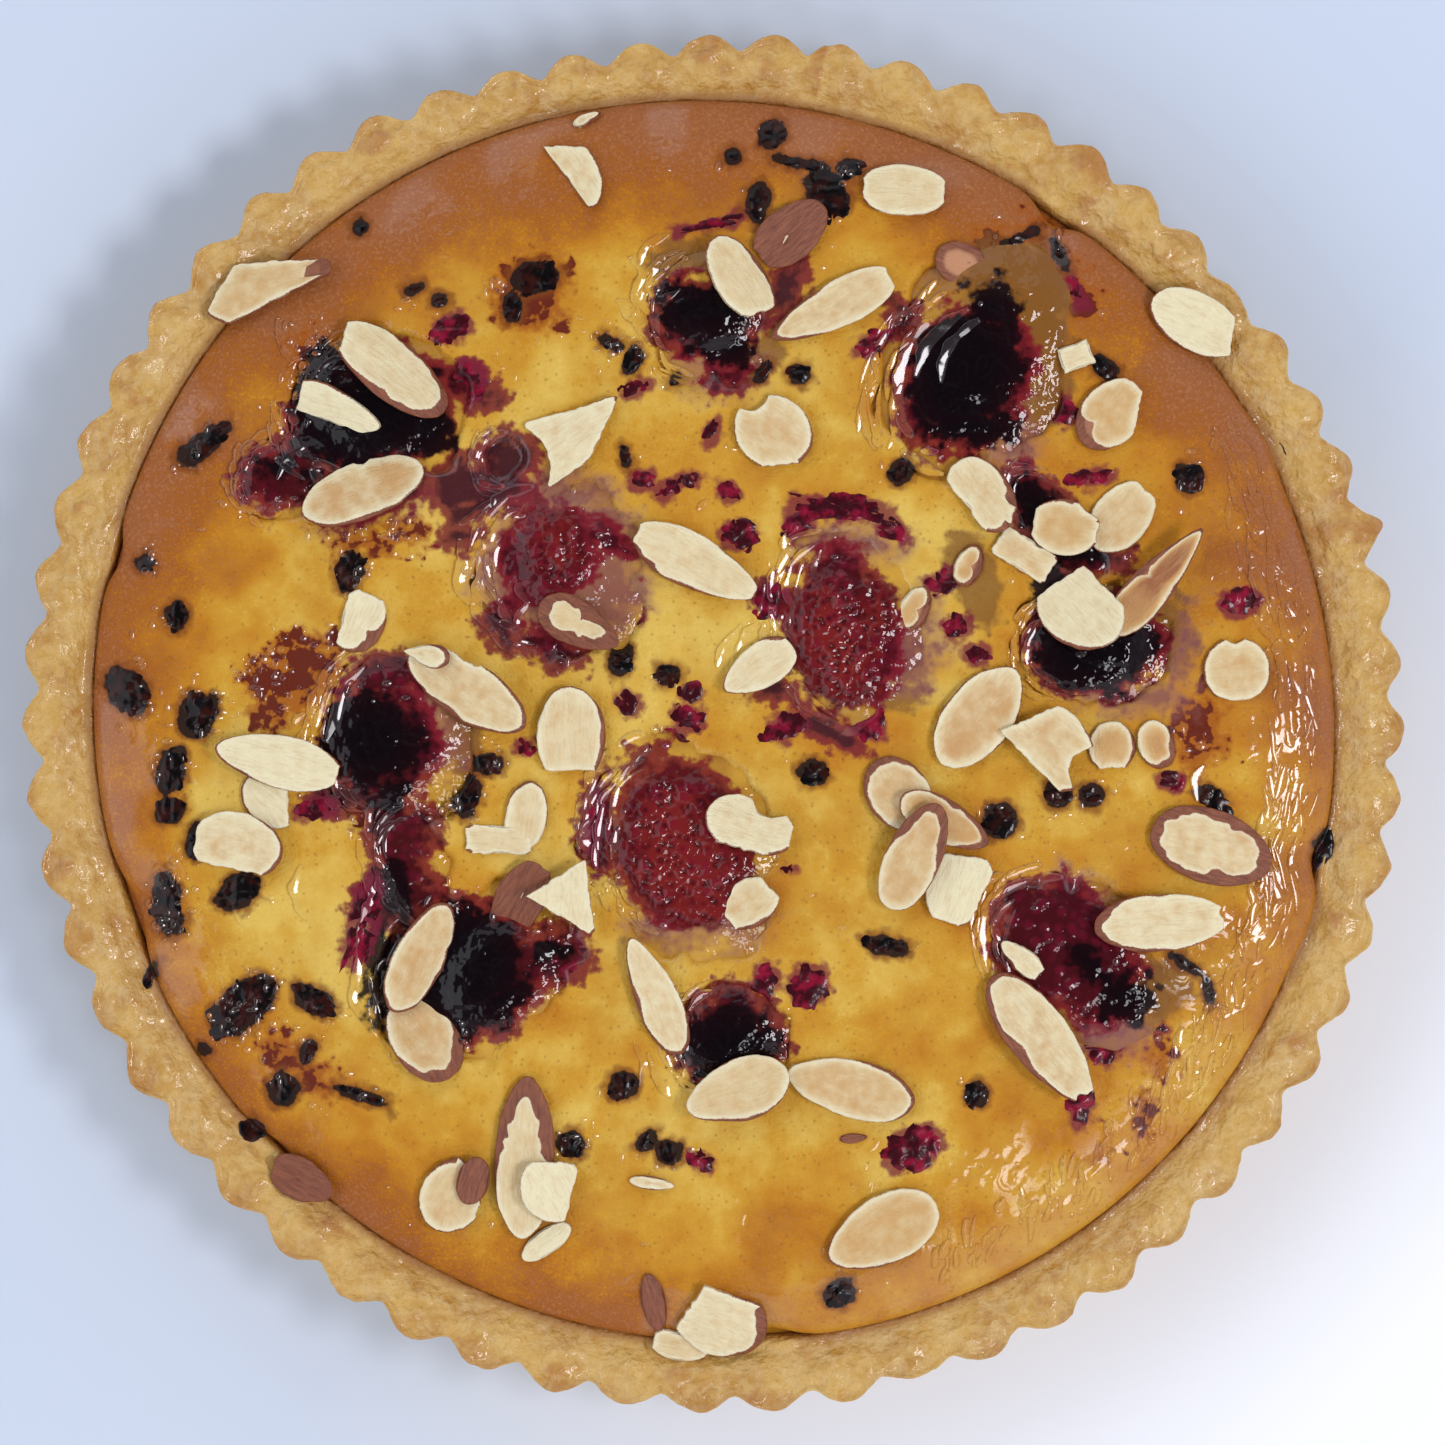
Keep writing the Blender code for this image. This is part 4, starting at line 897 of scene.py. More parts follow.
# %% Pools of juice
POOLS = (
    (-61, 56, 18, 14.4, 20, 1.2), (-78, 44, 9, 7.4, 20, 0.8), (-27.3, 26.7, 14.5, 13, -60, 0.7),
    (-1.5, 72, 11, 12.5, 0, 1.2), (46.5, 63.5, 20, 15.2, 62, 1.1), (24.5, 17, 16, 12.4, -70, 0.5),
    (68.5, 13.5, 13.6, 10.2, 5, 1.1), (61, 36, 13, 4.6, -50, 0.7), (-5.5, -23, 19, 14.8, -62, 0.7),
    (-58, -2.5, 16, 13.6, 60, 1.1), (-54, -27, 11.5, 5.4, -65, 0.7),
    (-43.5, -45.5, 16.5, 14.5, 30, 1.2), (3, -57.5, 10.6, 9.6, 0, 1.1), (65.5, -43, 17.5, 13, -42, 1),
)
POOL_RINGS, POOL_AROUND, POOL_DEPTH = 38, 136, 2.2
# How far a pool runs in under the filling, as a share of its size, and how far its rim falls.
POOL_REACH, POOL_FALL = 1.3, 1.2


def pool_points(pool):
    """One lens of juice: rings of an oval that runs in under the filling round its hollow, at the
    juice's height less 1.2 mm * ring^6. It lies lower than the filling by the last value."""
    x, y, half_length, half_width, turn, below = pool
    share = (np.arange(POOL_RINGS) + 0.5) / POOL_RINGS
    ring, around = np.meshgrid(share, circle(POOL_AROUND), indexing="ij")
    along = POOL_REACH * half_length * ring * np.cos(around)
    across = POOL_REACH * half_width * ring * np.sin(around)
    dx, dy = turned(along, across, turn)
    px, py = x + dx, y + dy
    high = juice_height(px, py, below) - POOL_FALL * ring**6
    top = np.stack([px, py, high], -1).reshape(-1, 3)
    low = top[-POOL_AROUND:] - [0.0, 0.0, POOL_DEPTH]
    tips = np.array([[x, y, high[0].mean()], [x, y, low[:, 2].mean()]])
    return np.concatenate([top, low, tips])


pool_parts = [pool_points(pool) for pool in POOLS]
pool_size = len(pool_parts[0])
pool_xyz = np.concatenate(pool_parts)
pool_values = surface_values(*pool_xyz.T[:2], ("jelly", "film", "red", "black", "fruit"))
pool_faces = closed_faces(POOL_RINGS + 1, POOL_AROUND, False)

# %% Set berry juice
juice, tree, shader, place, layer = new_material("set_berry_juice", pool_values)
# Fraying 2.4 mm and 6 mm across and waves of 3 mm; clots 1.7 mm apart, drupelets 2.4 mm across and
# a strawberry's pits, 1.6 mm apart.
fray, wide, waves = textures(tree, place, "TexNoise", (420.0, 5.0), (165.0, 4.0), (300.0, 2.0))
clots, drupelets, pits = textures(tree, place, "TexVoronoi", (600.0,), (420.0,), (620.0,))
rows = [(wide, 0.35, 0.65, 1.0, "#cf9f3c"), (layer["toast"], 0.06, 0.4, 0.9, "#96602a")]
colour = over(tree, "#b5822e", rows)
colour = stained(tree, colour, layer, (wide, fray, clots), JUICE_STAINS)
# Drupelets lie in the wine juice, where it isn't black. Each one's middle is painted a lighter
# crimson, a painted glow of light on its dome, and is raised in the bump.
in_wine = add(tree, "MapRange", {0: layer["red"], 1: -0.6, 2: -3.0, 4: 0.45})
clear = add(tree, "MapRange", {0: layer["black"], 1: 0.0, 2: 2.0})
lit = add(tree, "MapRange", {0: drupelets, 1: 0.62, 2: 0.12}, SMOOTH)
lit = add(tree, "Math", {0: lit, 1: in_wine}, TIMES)
lit = add(tree, "Math", {0: lit, 1: clear}, TIMES)
colour = add(tree, "Mix", {0: lit, 6: colour, 7: "#7d1430"}, RGBA)
# A strawberry's pits are painted dark, painted shade in them, and each has a pale seed in it.
berry = add(tree, "MapRange", {0: layer["fruit"], 1: 0.0, 2: -2.0})
for start, full, most, new in ((0.5, 0.16, 0.85, "#3c0710"), (0.13, 0.07, 0.35, "#96592c")):
    share = add(tree, "MapRange", {0: pits, 1: start, 2: full, 4: most})
    share = add(tree, "Math", {0: share, 1: berry}, TIMES)
    colour = add(tree, "Mix", {0: share, 6: colour, 7: new}, RGBA)
colour = over(tree, colour, [(layer["black"], 0.0, -5.0, 0.9, "#0b0509")])
dents = add(tree, "Math", {0: pits, 1: berry}, TIMES)
height = add(tree, "Math", {0: dents, 1: 0.6, 2: waves}, MULTIPLY_ADD)
height = add(tree, "Math", {0: lit, 1: 0.5, 2: height}, MULTIPLY_ADD)
bump = add(tree, "Bump", {"Strength": 0.5, "Distance": 0.0014, "Height": height})
feed(tree, shader, {"Base Color": colour, "Normal": bump, "Roughness": 0.04, "IOR": 1.36})
pools = make_piece(
    "juice_pools",
    pool_xyz,
    *(copies(faces, len(POOLS), pool_size) for faces in pool_faces),
    juice,
    **pool_values,
)
print("pools:", len(POOLS), "faces:", len(pools.data.polygons))

# %% [markdown]
# ## Baked bits of fruit
#
# Small bits of skin and single drupelets lie on the filling: burnt ones are black and hard, the
# others are still wine red and sticky. Each is a low dome on an oval whose outline wobbles, with
# grains on top, and all of them are one mesh.

# %% Bits of fruit
BIT_RINGS, BIT_AROUND = 10, 44
BIT_SIZE = BIT_RINGS * BIT_AROUND + 1


def bit_points(bit, seed):
    """Rings of a bit: the oval times ring * (1 + wobble), raised above the filling by
    rise * sqrt(1 - ring^2) * (0.6 + grains), the last ring sunk 0.2 mm into it."""
    x, y, half_length, half_width, turn = bit
    ring = ((np.arange(BIT_RINGS) + 0.6) / (BIT_RINGS - 0.4))[:, None]
    around = circle(BIT_AROUND)
    unit = at_zero(np.cos(around), np.sin(around))
    rim = unit * np.array([half_length, half_width, 0.0])
    wobble = 1.0 + 0.34 * noise(rim + 7.0 * seed, 2.1, seed) + 0.16 * noise(rim, 0.9, seed)
    along = ring * wobble * 1.12 * (half_length * unit[:, 0])
    across = ring * wobble * 1.12 * (half_width * unit[:, 1])
    dx, dy = turned(along, across, turn)
    px, py = x + dx, y + dy
    places = at_zero(px, py)
    rise = min(0.26 + 0.05 * half_width, 0.5)
    grainy = 0.8 * np.abs(noise(places, 1.6, seed + 1)) + 0.16 * noise(places, 0.8, seed + 2)
    high = fill_height(px, py) - 0.2 + rise * np.sqrt(1.0 - 0.97 * ring**2) * (0.6 + grainy)
    top = np.stack([px, py, high], -1).reshape(-1, 3)
    return np.concatenate([top, [[px[0].mean(), py[0].mean(), high[0].mean()]]])


all_bits = [*BURNT_BITS, *WINE_BITS]
bit_xyz = np.concatenate([bit_points(bit, 900 + k) for k, bit in enumerate(all_bits)])

# %% Burnt and sticky skin
bit_skin, tree, shader, place, layer = new_material("burnt_and_sticky_fruit_skin", ("burnt",))
# Grains 1.1 mm across, and patches of 2.6 mm.
grain, patchy = textures(tree, place, "TexNoise", (900.0, 3.0), (380.0, 3.0))
share = add(tree, "MapRange", {0: patchy, 1: 0.42, 2: 0.66}, SMOOTH)
red = add(tree, "Mix", {0: share, 6: "#3a0712", 7: "#8c1230"}, RGBA)
black = add(tree, "Mix", {0: share, 6: "#080304", 7: "#33100a"}, RGBA)
colour = add(tree, "Mix", {0: layer["burnt"], 6: red, 7: black}, RGBA)
bump = add(tree, "Bump", {"Strength": 0.4, "Distance": 0.0004, "Height": grain})
feed(tree, shader, {"Base Color": colour, "Normal": bump, "Roughness": 0.3})
feed(tree, shader, {"Specular IOR Level": 0.1, "Coat Weight": 0.3, "Coat Roughness": 0.06})
bits = make_piece(
    "baked_fruit_bits",
    bit_xyz,
    copies(ring_quads(BIT_RINGS, BIT_AROUND)[:, ::-1], len(all_bits), BIT_SIZE),
    copies(ring_fan(0, BIT_AROUND, BIT_SIZE - 1, True), len(all_bits), BIT_SIZE),
    bit_skin,
    burnt=np.repeat([1.0, 0.0], [len(BURNT_BITS) * BIT_SIZE, len(WINE_BITS) * BIT_SIZE]),
)
print("bits:", len(all_bits), "faces:", len(bits.data.polygons))

# %% [markdown]
# ## The berries
#
# A baked dark berry is a heap of drupelets, the little juicy beads it is built of, gone slack and
# shining. A baked strawberry keeps its cone and its seeds but turns dark and soft. Both have sunk
# until their tops are level with the filling, and juice has run over them, so little more than
# their shape shows. Each is a rounded body as a function of longitude and latitude; beads are
# domes round points spread evenly over the body, by the golden angle.

# %% The berries' shapes
BERRY_AROUND, BERRY_ROWS = 150, 84


def spread_directions(count):
    """Directions spread evenly over a ball: heights in equal steps from pole to pole, each one
    turned by the golden angle from the last."""
    k = np.arange(count) + 0.5
    high = 1.0 - 2.0 * k / count
    turn = np.pi * (3.0 - math.sqrt(5.0)) * k
    flat = np.sqrt(1.0 - high**2)
    return np.stack([flat * np.cos(turn), flat * np.sin(turn), high], -1)


def berry_points(node, length, width, turn, beads, seed):
    """A body of the node's height whose long way is turned as the node is: unit directions times
    half sizes, narrowed towards one end for a strawberry, and swollen by each bead's dome, which
    is sqrt(1 - (angle to the bead / reach)^2)."""
    middle_x, middle_y, half_height, level = BERRY_PLACES[node]
    latitude = np.pi * (np.arange(BERRY_ROWS) + 1.0) / (BERRY_ROWS + 1.0) - np.pi / 2.0
    lat, lon = np.meshgrid(latitude, circle(BERRY_AROUND), indexing="ij")
    way = np.stack([np.cos(lat) * np.cos(lon), np.cos(lat) * np.sin(lon), np.sin(lat)], -1)
    way = np.concatenate([way.reshape(-1, 3), [[0.0, 0.0, -1.0], [0.0, 0.0, 1.0]]])
    wobble = 0.13 * rough(way * 10.0 + seed, 9.0, seed, 2)
    pillow = (np.hypot(way[:, 0], way[:, 1]) ** 3 + np.abs(way[:, 2]) ** 3) ** (-1.0 / 3.0)
    if beads:
        centres = spread_directions(beads)
        centres = centres + 0.12 * noise(centres * 50.0, 3.0, seed)[:, None]
        centres = centres / np.linalg.norm(centres, axis=1)[:, None]
        apart = np.arccos(np.clip(way @ centres.T, -1.0, 1.0))
        closest = np.sort(apart, axis=1)[:, :2]
        reach = 1.25 * math.sqrt(4.0 / beads)
        dome = np.sqrt(np.maximum(0.0, 1.0 - (closest[:, 0] / (1.6 * reach)) ** 2))
        groove = step(0.0, 0.4 * reach, closest[:, 1] - closest[:, 0])
        swollen = 0.92 + 0.08 * dome * (0.5 + 0.5 * groove)
        taper = 1.0
    else:
        swollen = 0.97
        taper = 1.0 - 0.22 * way[:, 0]
    size = ((swollen + wobble) * pillow)[:, None] * way
    local = size * [HALF_BERRY * length, HALF_BERRY * width, half_height]
    local[:, 1] *= taper
    placed = np.stack([*turned(local[:, 0], local[:, 1], turn), local[:, 2]], -1)
    placed[:, 2] += 0.3 * noise(placed, 2.2, seed + 3) * np.maximum(way[:, 2], 0.0)
    return placed + [middle_x, middle_y, level - half_height]


# %% Baked berry skins
def berry_material(name, deep, bright, roughness, seeds):
    """Berry skin: a deep colour, brighter in soft patches where juice shows through; a strawberry
    has dark pits 2.5 mm apart, painted shade, with a pale seed in each."""
    material, tree, shader, place, _ = new_material(name)
    soft, fine = textures(tree, place, "TexNoise", (190.0, 4.0), (900.0, 2.0))
    colour = over(tree, deep, [(soft, 0.42, 0.68, 1.0, bright, SMOOTH)])
    height = fine
    if seeds:
        cells = add(tree, "TexVoronoi", {"Vector": place, "Scale": 400.0, "Randomness": 0.8})
        # The pits are painted dark, painted shade in them, round a pale seed.
        rows = [(cells, 0.34, 0.2, 0.75, "#33060d"), (cells, 0.13, 0.08, 0.7, "#9a6230")]
        colour = over(tree, colour, rows)
        height = add(tree, "Math", {0: cells, 1: 1.5, 2: fine}, MULTIPLY_ADD)
    bump = add(tree, "Bump", {"Strength": 0.5, "Distance": 0.0007, "Height": height})
    feed(tree, shader, {"Base Color": colour, "Normal": bump, "Roughness": roughness})
    feed(tree, shader, {"Coat Weight": 1.0, "Coat Roughness": 0.06})
    return material


strawberry_skin = berry_material("baked_strawberry", "#4d0c16", "#861a28", 0.35, True)
dark_skin = berry_material("baked_dark_berry", "#0d0509", "#2a0b18", 0.25, False)
red_skin = berry_material("baked_red_berry", "#1e060d", "#6a1022", 0.25, False)

# %% Make the berries
for number, (node, (length, width, turn, beads)) in enumerate(BERRIES.items()):
    is_dark = node.startswith("dark")
    berry = make_piece(
        node + "_baked",
        berry_points(node, length, width, turn, beads, 100 + number),
        *closed_faces(BERRY_ROWS, BERRY_AROUND),
        strawberry_skin if not beads else dark_skin if is_dark else red_skin,
        [node],
    )
print("berries:", len(BERRIES))

# %% [markdown]
# ## Ridges of glaze
#
# The fruit glaze was brushed on while the filling was still sinking, so it has wrinkled into
# ridges beside the hollows, where it ran down and set, and all along the right-hand edge. Each
# ridge is a path through a few points. Clear glaze shows only what it mirrors, so a ridge takes
# the filling's own colours and leans towards the window, whose light it then throws up.

# %% Ridges of glaze
# Points along each ridge, x and y in turn, then its half width.
RIDGES = (
    ((-46, 33, -44.5, 29, -46, 25, -44, 21), 1.7),
    ((-42, 36, -41, 31, -42.2, 26, -43, 21, -42, 16), 1.1),
    ((-37, 39, -39, 35.5, -41, 31.5, -41.5, 28), 1), ((-36, 35, -33.6, 32, -33.4, 29), 0.8),
    ((-37, 25, -34, 26, -35.5, 23, -32, 21.5, -35.5, 19.5, -36, 16, -33.6, 15.4), 1.1),
    ((-46, 35.5, -42, 37.6, -39, 40.5), 1), ((-15, 84, -12, 80.5, -14, 76.5, -10, 73), 1.4),
    ((-11, 86, -10, 82, -12, 78.5, -9.5, 75.4, -6, 78), 1.1),
    ((-17.5, 76, -14.5, 74, -12.4, 69.5), 1.5), ((-8, 88, -12, 86, -13.5, 82), 0.9),
    ((34, 61, 32.4, 56.5, 33.2, 52, 31.4, 49), 1.1), ((36, 68.5, 34, 64, 33.2, 59, 34.4, 54), 1.4),
    ((39.5, 72.5, 36.4, 69.5, 33.4, 66.5), 1.3), ((46, 74.5, 42, 71.5, 38.4, 67.4, 36.4, 62), 1.4),
    ((48, 72.5, 44, 69.5, 41.4, 65.5, 41, 61), 1.2), ((29.5, 61, 27, 56.6, 26, 52), 0.9),
    ((-69, 7, -70, 2.4, -72, -1), 1.2), ((-63, 10, -67, 6, -67.8, 0.4, -70, -4), 1.3),
    ((-66, 13.5, -70.4, 8, -71.4, 3), 0.8), ((-73.5, 6, -71.6, 1, -72.6, -3), 0.9),
    ((-64, -21, -63, -26, -61.2, -30, -62.2, -34, -64.2, -38.5), 1.3),
    ((-64.2, -38.5, -64, -45, -65.2, -50.5, -63, -55), 1), ((-67, -37.4, -62.4, -35.8, -60, -39.4), 1),
    ((-61, -25, -60, -31), 0.8), ((-70, -48.4, -66, -51.8), 1.1),
    ((-24.2, -13, -22.6, -18, -23.4, -22, -21.4, -25.4), 1.1), ((-15, -8, -17.4, -12, -19, -20), 0.9),
    ((-18.4, -14, -17.4, -19, -18.6, -25), 0.8), ((-23.4, -28, -19, -29), 1.1),
    ((52, -29, 49.4, -33, 48.4, -39, 49.4, -45), 0.9),
    ((50, -27, 46.6, -34, 46.8, -40, 49, -46.4), 0.6), ((-5, -57, -4.2, -62, -5.4, -66), 0.9),
    ((-12, -60, -10, -64, -8, -68), 1), ((-14.4, -58, -12.2, -62, -13.4, -66), 0.8),
    ((14, 28, 13, 24, 14.4, 20), 0.8), ((8, 18, 5, 14.4, 3.4, 10), 0.9),
    ((5, 17.4, 1.6, 13, 0.6, 9.6), 0.9), ((19.4, 31, 18, 27, 20, 23), 0.8),
    ((88.6, -8, 87, -11, 87.4, -14.6), 1.1), ((-70, -13.6, -67.6, -15.6), 1),
    ((-79, 73, -78, 68, -76.4, 65), 1.1), ((-80, 58, -78, 54, -79, 51), 1),
    ((-74, 49.6, -77.4, 47, -79, 43.6), 0.8), ((13, 34, 12.6, 30.6), 0.8), ((-87, -33, -85, -37), 0.8),
    ((-74.6, -26, -76, -31, -73.6, -36), 0.9), ((-3, 38, -1, 40), 0.5),
)
# Points along and across a ridge; a wrinkle, drawn hundreds of times, has only a few dozen faces.
RIDGE_GRID = (44, 9)
WRINKLE_GRID = (8, 4)
# How deep a ridge goes, and how far its foot is over the filling or the juice.
RIDGE_THICKNESS = 0.9
RIDGE_LIFT = 0.12
# How a ridge climbs away from the window, per mm to the right and up in the view.
WINDOW_SLOPE = (-0.31, 0.05)


def ridge_points(path, half_width, seed, steps, sides):
    """A ridge along a broken line that is rounded by averaging. It leans towards the window:
    height = ground under its middle line, averaged along it, + slope . (away from that line)
    + 0.06 * width * (1 - t^2) for t from -1 to 1 across it, and noise. The second half of each row
    is its underside."""
    knots = np.array(path).reshape(-1, 2)
    at = np.linspace(0.0, len(knots) - 1.0, steps)
    line = np.stack([np.interp(at, np.arange(len(knots)), knots[:, k]) for k in range(2)], -1)
    for _ in range(steps // 2):
        line[1:-1] = (line[:-2] + 2.0 * line[1:-1] + line[2:]) / 4.0
    along = np.gradient(line, axis=0)
    normal = np.stack([-along[:, 1], along[:, 0]], -1) / np.linalg.norm(along, axis=1)[:, None]
    spread = np.linspace(-1.0, 1.0, sides)
    places = np.concatenate([line, np.zeros((steps, 1))], 1)
    wide = half_width * np.sin(np.pi * np.clip(np.arange(steps) / (steps - 1.0), 0.03, 0.97)) ** 0.5
    wide = wide * (1.0 + 0.5 * noise(places, 2.0, seed))
    away = normal[:, None] * (wide[:, None] * spread)[..., None]
    flat = line[:, None] + away
    ground = np.maximum(fill_height(*line.T), juice_height(*line.T, 0.9))
    for _ in range(2 * steps):
        ground[1:-1] = (ground[:-2] + 2.0 * ground[1:-1] + ground[2:]) / 4.0
    lean = away @ np.array(WINDOW_SLOPE)
    crumple = 0.045 * noise(np.concatenate([flat, 0.0 * flat[..., :1]], -1), 2.0, seed + 1)
    dome = 0.06 * wide[:, None] * (1.0 - spread**2)
    top = np.concatenate([flat, (ground[:, None] + RIDGE_LIFT + lean + crumple + dome)[..., None]], -1)
    under = top[:, ::-1] - [0.0, 0.0, RIDGE_THICKNESS]
    return np.concatenate([top, under], 1).reshape(-1, 3)


def ridge_faces(steps, sides):
    """Faces of one ridge: rows of points that close on themselves, and a strip at each end."""
    around = 2 * sides
    strip = np.arange(1, sides)
    strip = np.stack([strip - 1, strip, around - 1 - strip, around - strip], -1)
    return np.concatenate([ring_quads(steps, around), strip, (strip + (steps - 1) * around)[:, ::-1]])


# %% Wrinkles along the right-hand edge
draw = np.random.default_rng(17)
WRINKLES = 260
# Places of a wrinkle's points, as shares of its length.
KNOT_PARTS = (-0.5, -0.17, 0.17, 0.5)
wrinkles = []
for _ in range(WRINKLES):
    angle, depth = draw.uniform(-68.0, 30.0), draw.uniform(3.0, 12.0)
    length, lean = draw.uniform(2.5, 9.0), draw.uniform(-2.0, 2.0)
    length = length * (1.0 - 0.6 * float(step(-25.0, -60.0, angle)))
    lean = lean + length * max(-1.6, math.tan(math.radians(min(angle + 12.0, 0.0))))
    knots = []
    for part in KNOT_PARTS:
        way = math.radians(angle) + part * length / 105.0
        radius = float(fill_edge(np.degrees(way))) - depth + part * lean + draw.uniform(-0.5, 0.5)
        knots += [radius * math.cos(way), radius * math.sin(way)]
    wrinkles.append((knots, draw.uniform(0.35, 0.95)))

# %% Wrinkles on the hollows' left walls
HOLLOW_WRINKLES = 30
for x, y, half_length, half_width, turn, _ in HOLLOWS:
    for _ in range(HOLLOW_WRINKLES):
        angle, length = draw.uniform(115.0, 250.0), draw.uniform(2.0, 8.5)
        share, slant = draw.uniform(0.78, 1.16), draw.uniform(-1.6, 1.6)
        knots = []
        for part in KNOT_PARTS:
            way = math.radians(angle + math.degrees(part * length / half_width))
            own = way - math.radians(turn)
            radius = 1.0 / math.hypot(math.cos(own) / half_length, math.sin(own) / half_width)
            radius = share * radius + part * slant + draw.uniform(-0.4, 0.4)
            knots += [x + radius * math.cos(way), y + radius * math.sin(way)]
        wrinkles.append((knots, draw.uniform(0.3, 1.1)))

# %% Glaze over almond sponge
# The filling's own material under a smooth, even coat: it is the coat that throws up the window.
glazed = sponge.copy()
glazed.name = "fruit_glaze_on_sponge"
tree = glazed.node_tree
for link in list(tree.links):
    if link.to_socket.name in ("Coat Normal", "Coat Weight"):
        tree.links.remove(link)
feed(tree, tree.nodes["Principled BSDF"], {"Coat Weight": 1.0, "Coat Roughness": 0.07})

# %% Make the ridges
ridge_parts, ridge_quads, first = [], [], 0
for k, (path, half_width) in enumerate([*RIDGES, *wrinkles]):
    grid = RIDGE_GRID if k < len(RIDGES) else WRINKLE_GRID
    ridge_parts.append(ridge_points(path, half_width, 700 + 3 * k, *grid))
    ridge_quads.append(ridge_faces(*grid) + first)
    first += len(ridge_parts[-1])
ridge_xyz = np.concatenate(ridge_parts)
ridge_values = surface_values(*ridge_xyz.T[:2]) | {"wet": np.ones(len(ridge_xyz))}
ridges = make_piece("glaze_ridges", ridge_xyz, np.concatenate(ridge_quads), (), glazed, **ridge_values)
print("glaze ridges:", len(ridge_parts), "faces:", len(ridges.data.polygons))

# %% [markdown]
# ## Drops of glaze
#
# Where the glaze was dabbed on it also left drops, which glitter round the burnt bits and over
# the browned skin. Each is a flat dome, 0.12 of its radius high, on the filling or the juice, and
# leans towards the window as the ridges do, some more than others.

# %% Drops of glaze
DROPS, DROP_RINGS, DROP_AROUND = 1100, (1.0, 0.7, 0.35), 12
DROP_SIZE = len(DROP_RINGS) * DROP_AROUND + 1
DROP_HEIGHT = 0.12
draw = np.random.default_rng(23)
tried = draw.uniform(-110.0, 110.0, (30000, 2))
tried = tried[np.hypot(tried[:, 0], tried[:, 1]) < 108.0]
by_bits = nearest(tried[:, 0], tried[:, 1], BURNT_BITS + SCORCHES)
by_juice = nearest(tried[:, 0], tried[:, 1], WINE_JUICE)
chance = 0.02 + 0.8 * step(4.0, 0.0, by_bits) + 0.25 * step(6.0, 0.0, np.abs(by_juice))
chance = chance * (0.3 + 0.7 * step(30.0, -40.0, tried[:, 0]))
chance = chance * step(-0.2, 0.6, rough(at_zero(*tried.T), 8.0, 91))
tried = tried[draw.uniform(0.0, 1.0, len(tried)) < chance][:DROPS]
radius = draw.uniform(0.35, 0.95, len(tried)) ** 1.3
ring, around = (part.ravel() for part in np.meshgrid(DROP_RINGS, circle(DROP_AROUND), indexing="ij"))
stretch = draw.uniform(0.6, 1.5, len(tried))
# Each drop's points away from its middle, which is the last of them.
dx = np.append(ring * np.cos(around), 0.0) * (radius * stretch)[:, None]
dy = np.append(ring * np.sin(around), 0.0) * (radius / stretch)[:, None]
drop_x, drop_y = tried[:, :1] + dx, tried[:, 1:] + dy
ground = np.maximum(fill_height(drop_x, drop_y), juice_height(drop_x, drop_y, 1.1)).max(1)
rise = np.append(DROP_HEIGHT * (1.0 - ring**2), DROP_HEIGHT) * radius[:, None]
lean = draw.uniform(0.5, 1.3, (len(tried), 1))
rise = rise + lean * (WINDOW_SLOPE[0] * dx + WINDOW_SLOPE[1] * dy)
rise[:, :DROP_AROUND] -= 0.25
drop_xyz = np.stack([drop_x, drop_y, ground[:, None] - 0.02 + rise], -1).reshape(-1, 3)
drops = make_piece(
    "glaze_drops",
    drop_xyz,
    copies(ring_quads(len(DROP_RINGS), DROP_AROUND), len(tried), DROP_SIZE),
    copies(ring_fan(DROP_SIZE - 1 - DROP_AROUND, DROP_AROUND, DROP_SIZE - 1, True), len(tried), DROP_SIZE),
    glazed,
    **(surface_values(*drop_xyz.T[:2]) | {"wet": np.ones(len(drop_xyz))}),
)
print("drops:", len(tried), "faces:", len(drops.data.polygons))

# %% [markdown]
# ## Sliced almonds
#
# A whole almond is cut into slices 1.4 mm thick, so each slice is an oval of pale flesh with the
# cut edge of the brown skin round part of it; the broken ones have straight or bitten edges and no
# skin there. Where the knife went slantwise the skin shows as a wide brown band. A slice is a grid
# of rings: every ring is the outline made smaller, the last rings roll over the edge and under. The
# slices that stand for a solid lie in that solid's own plane; the small bits that are baked on are
# laid on the filling under them.

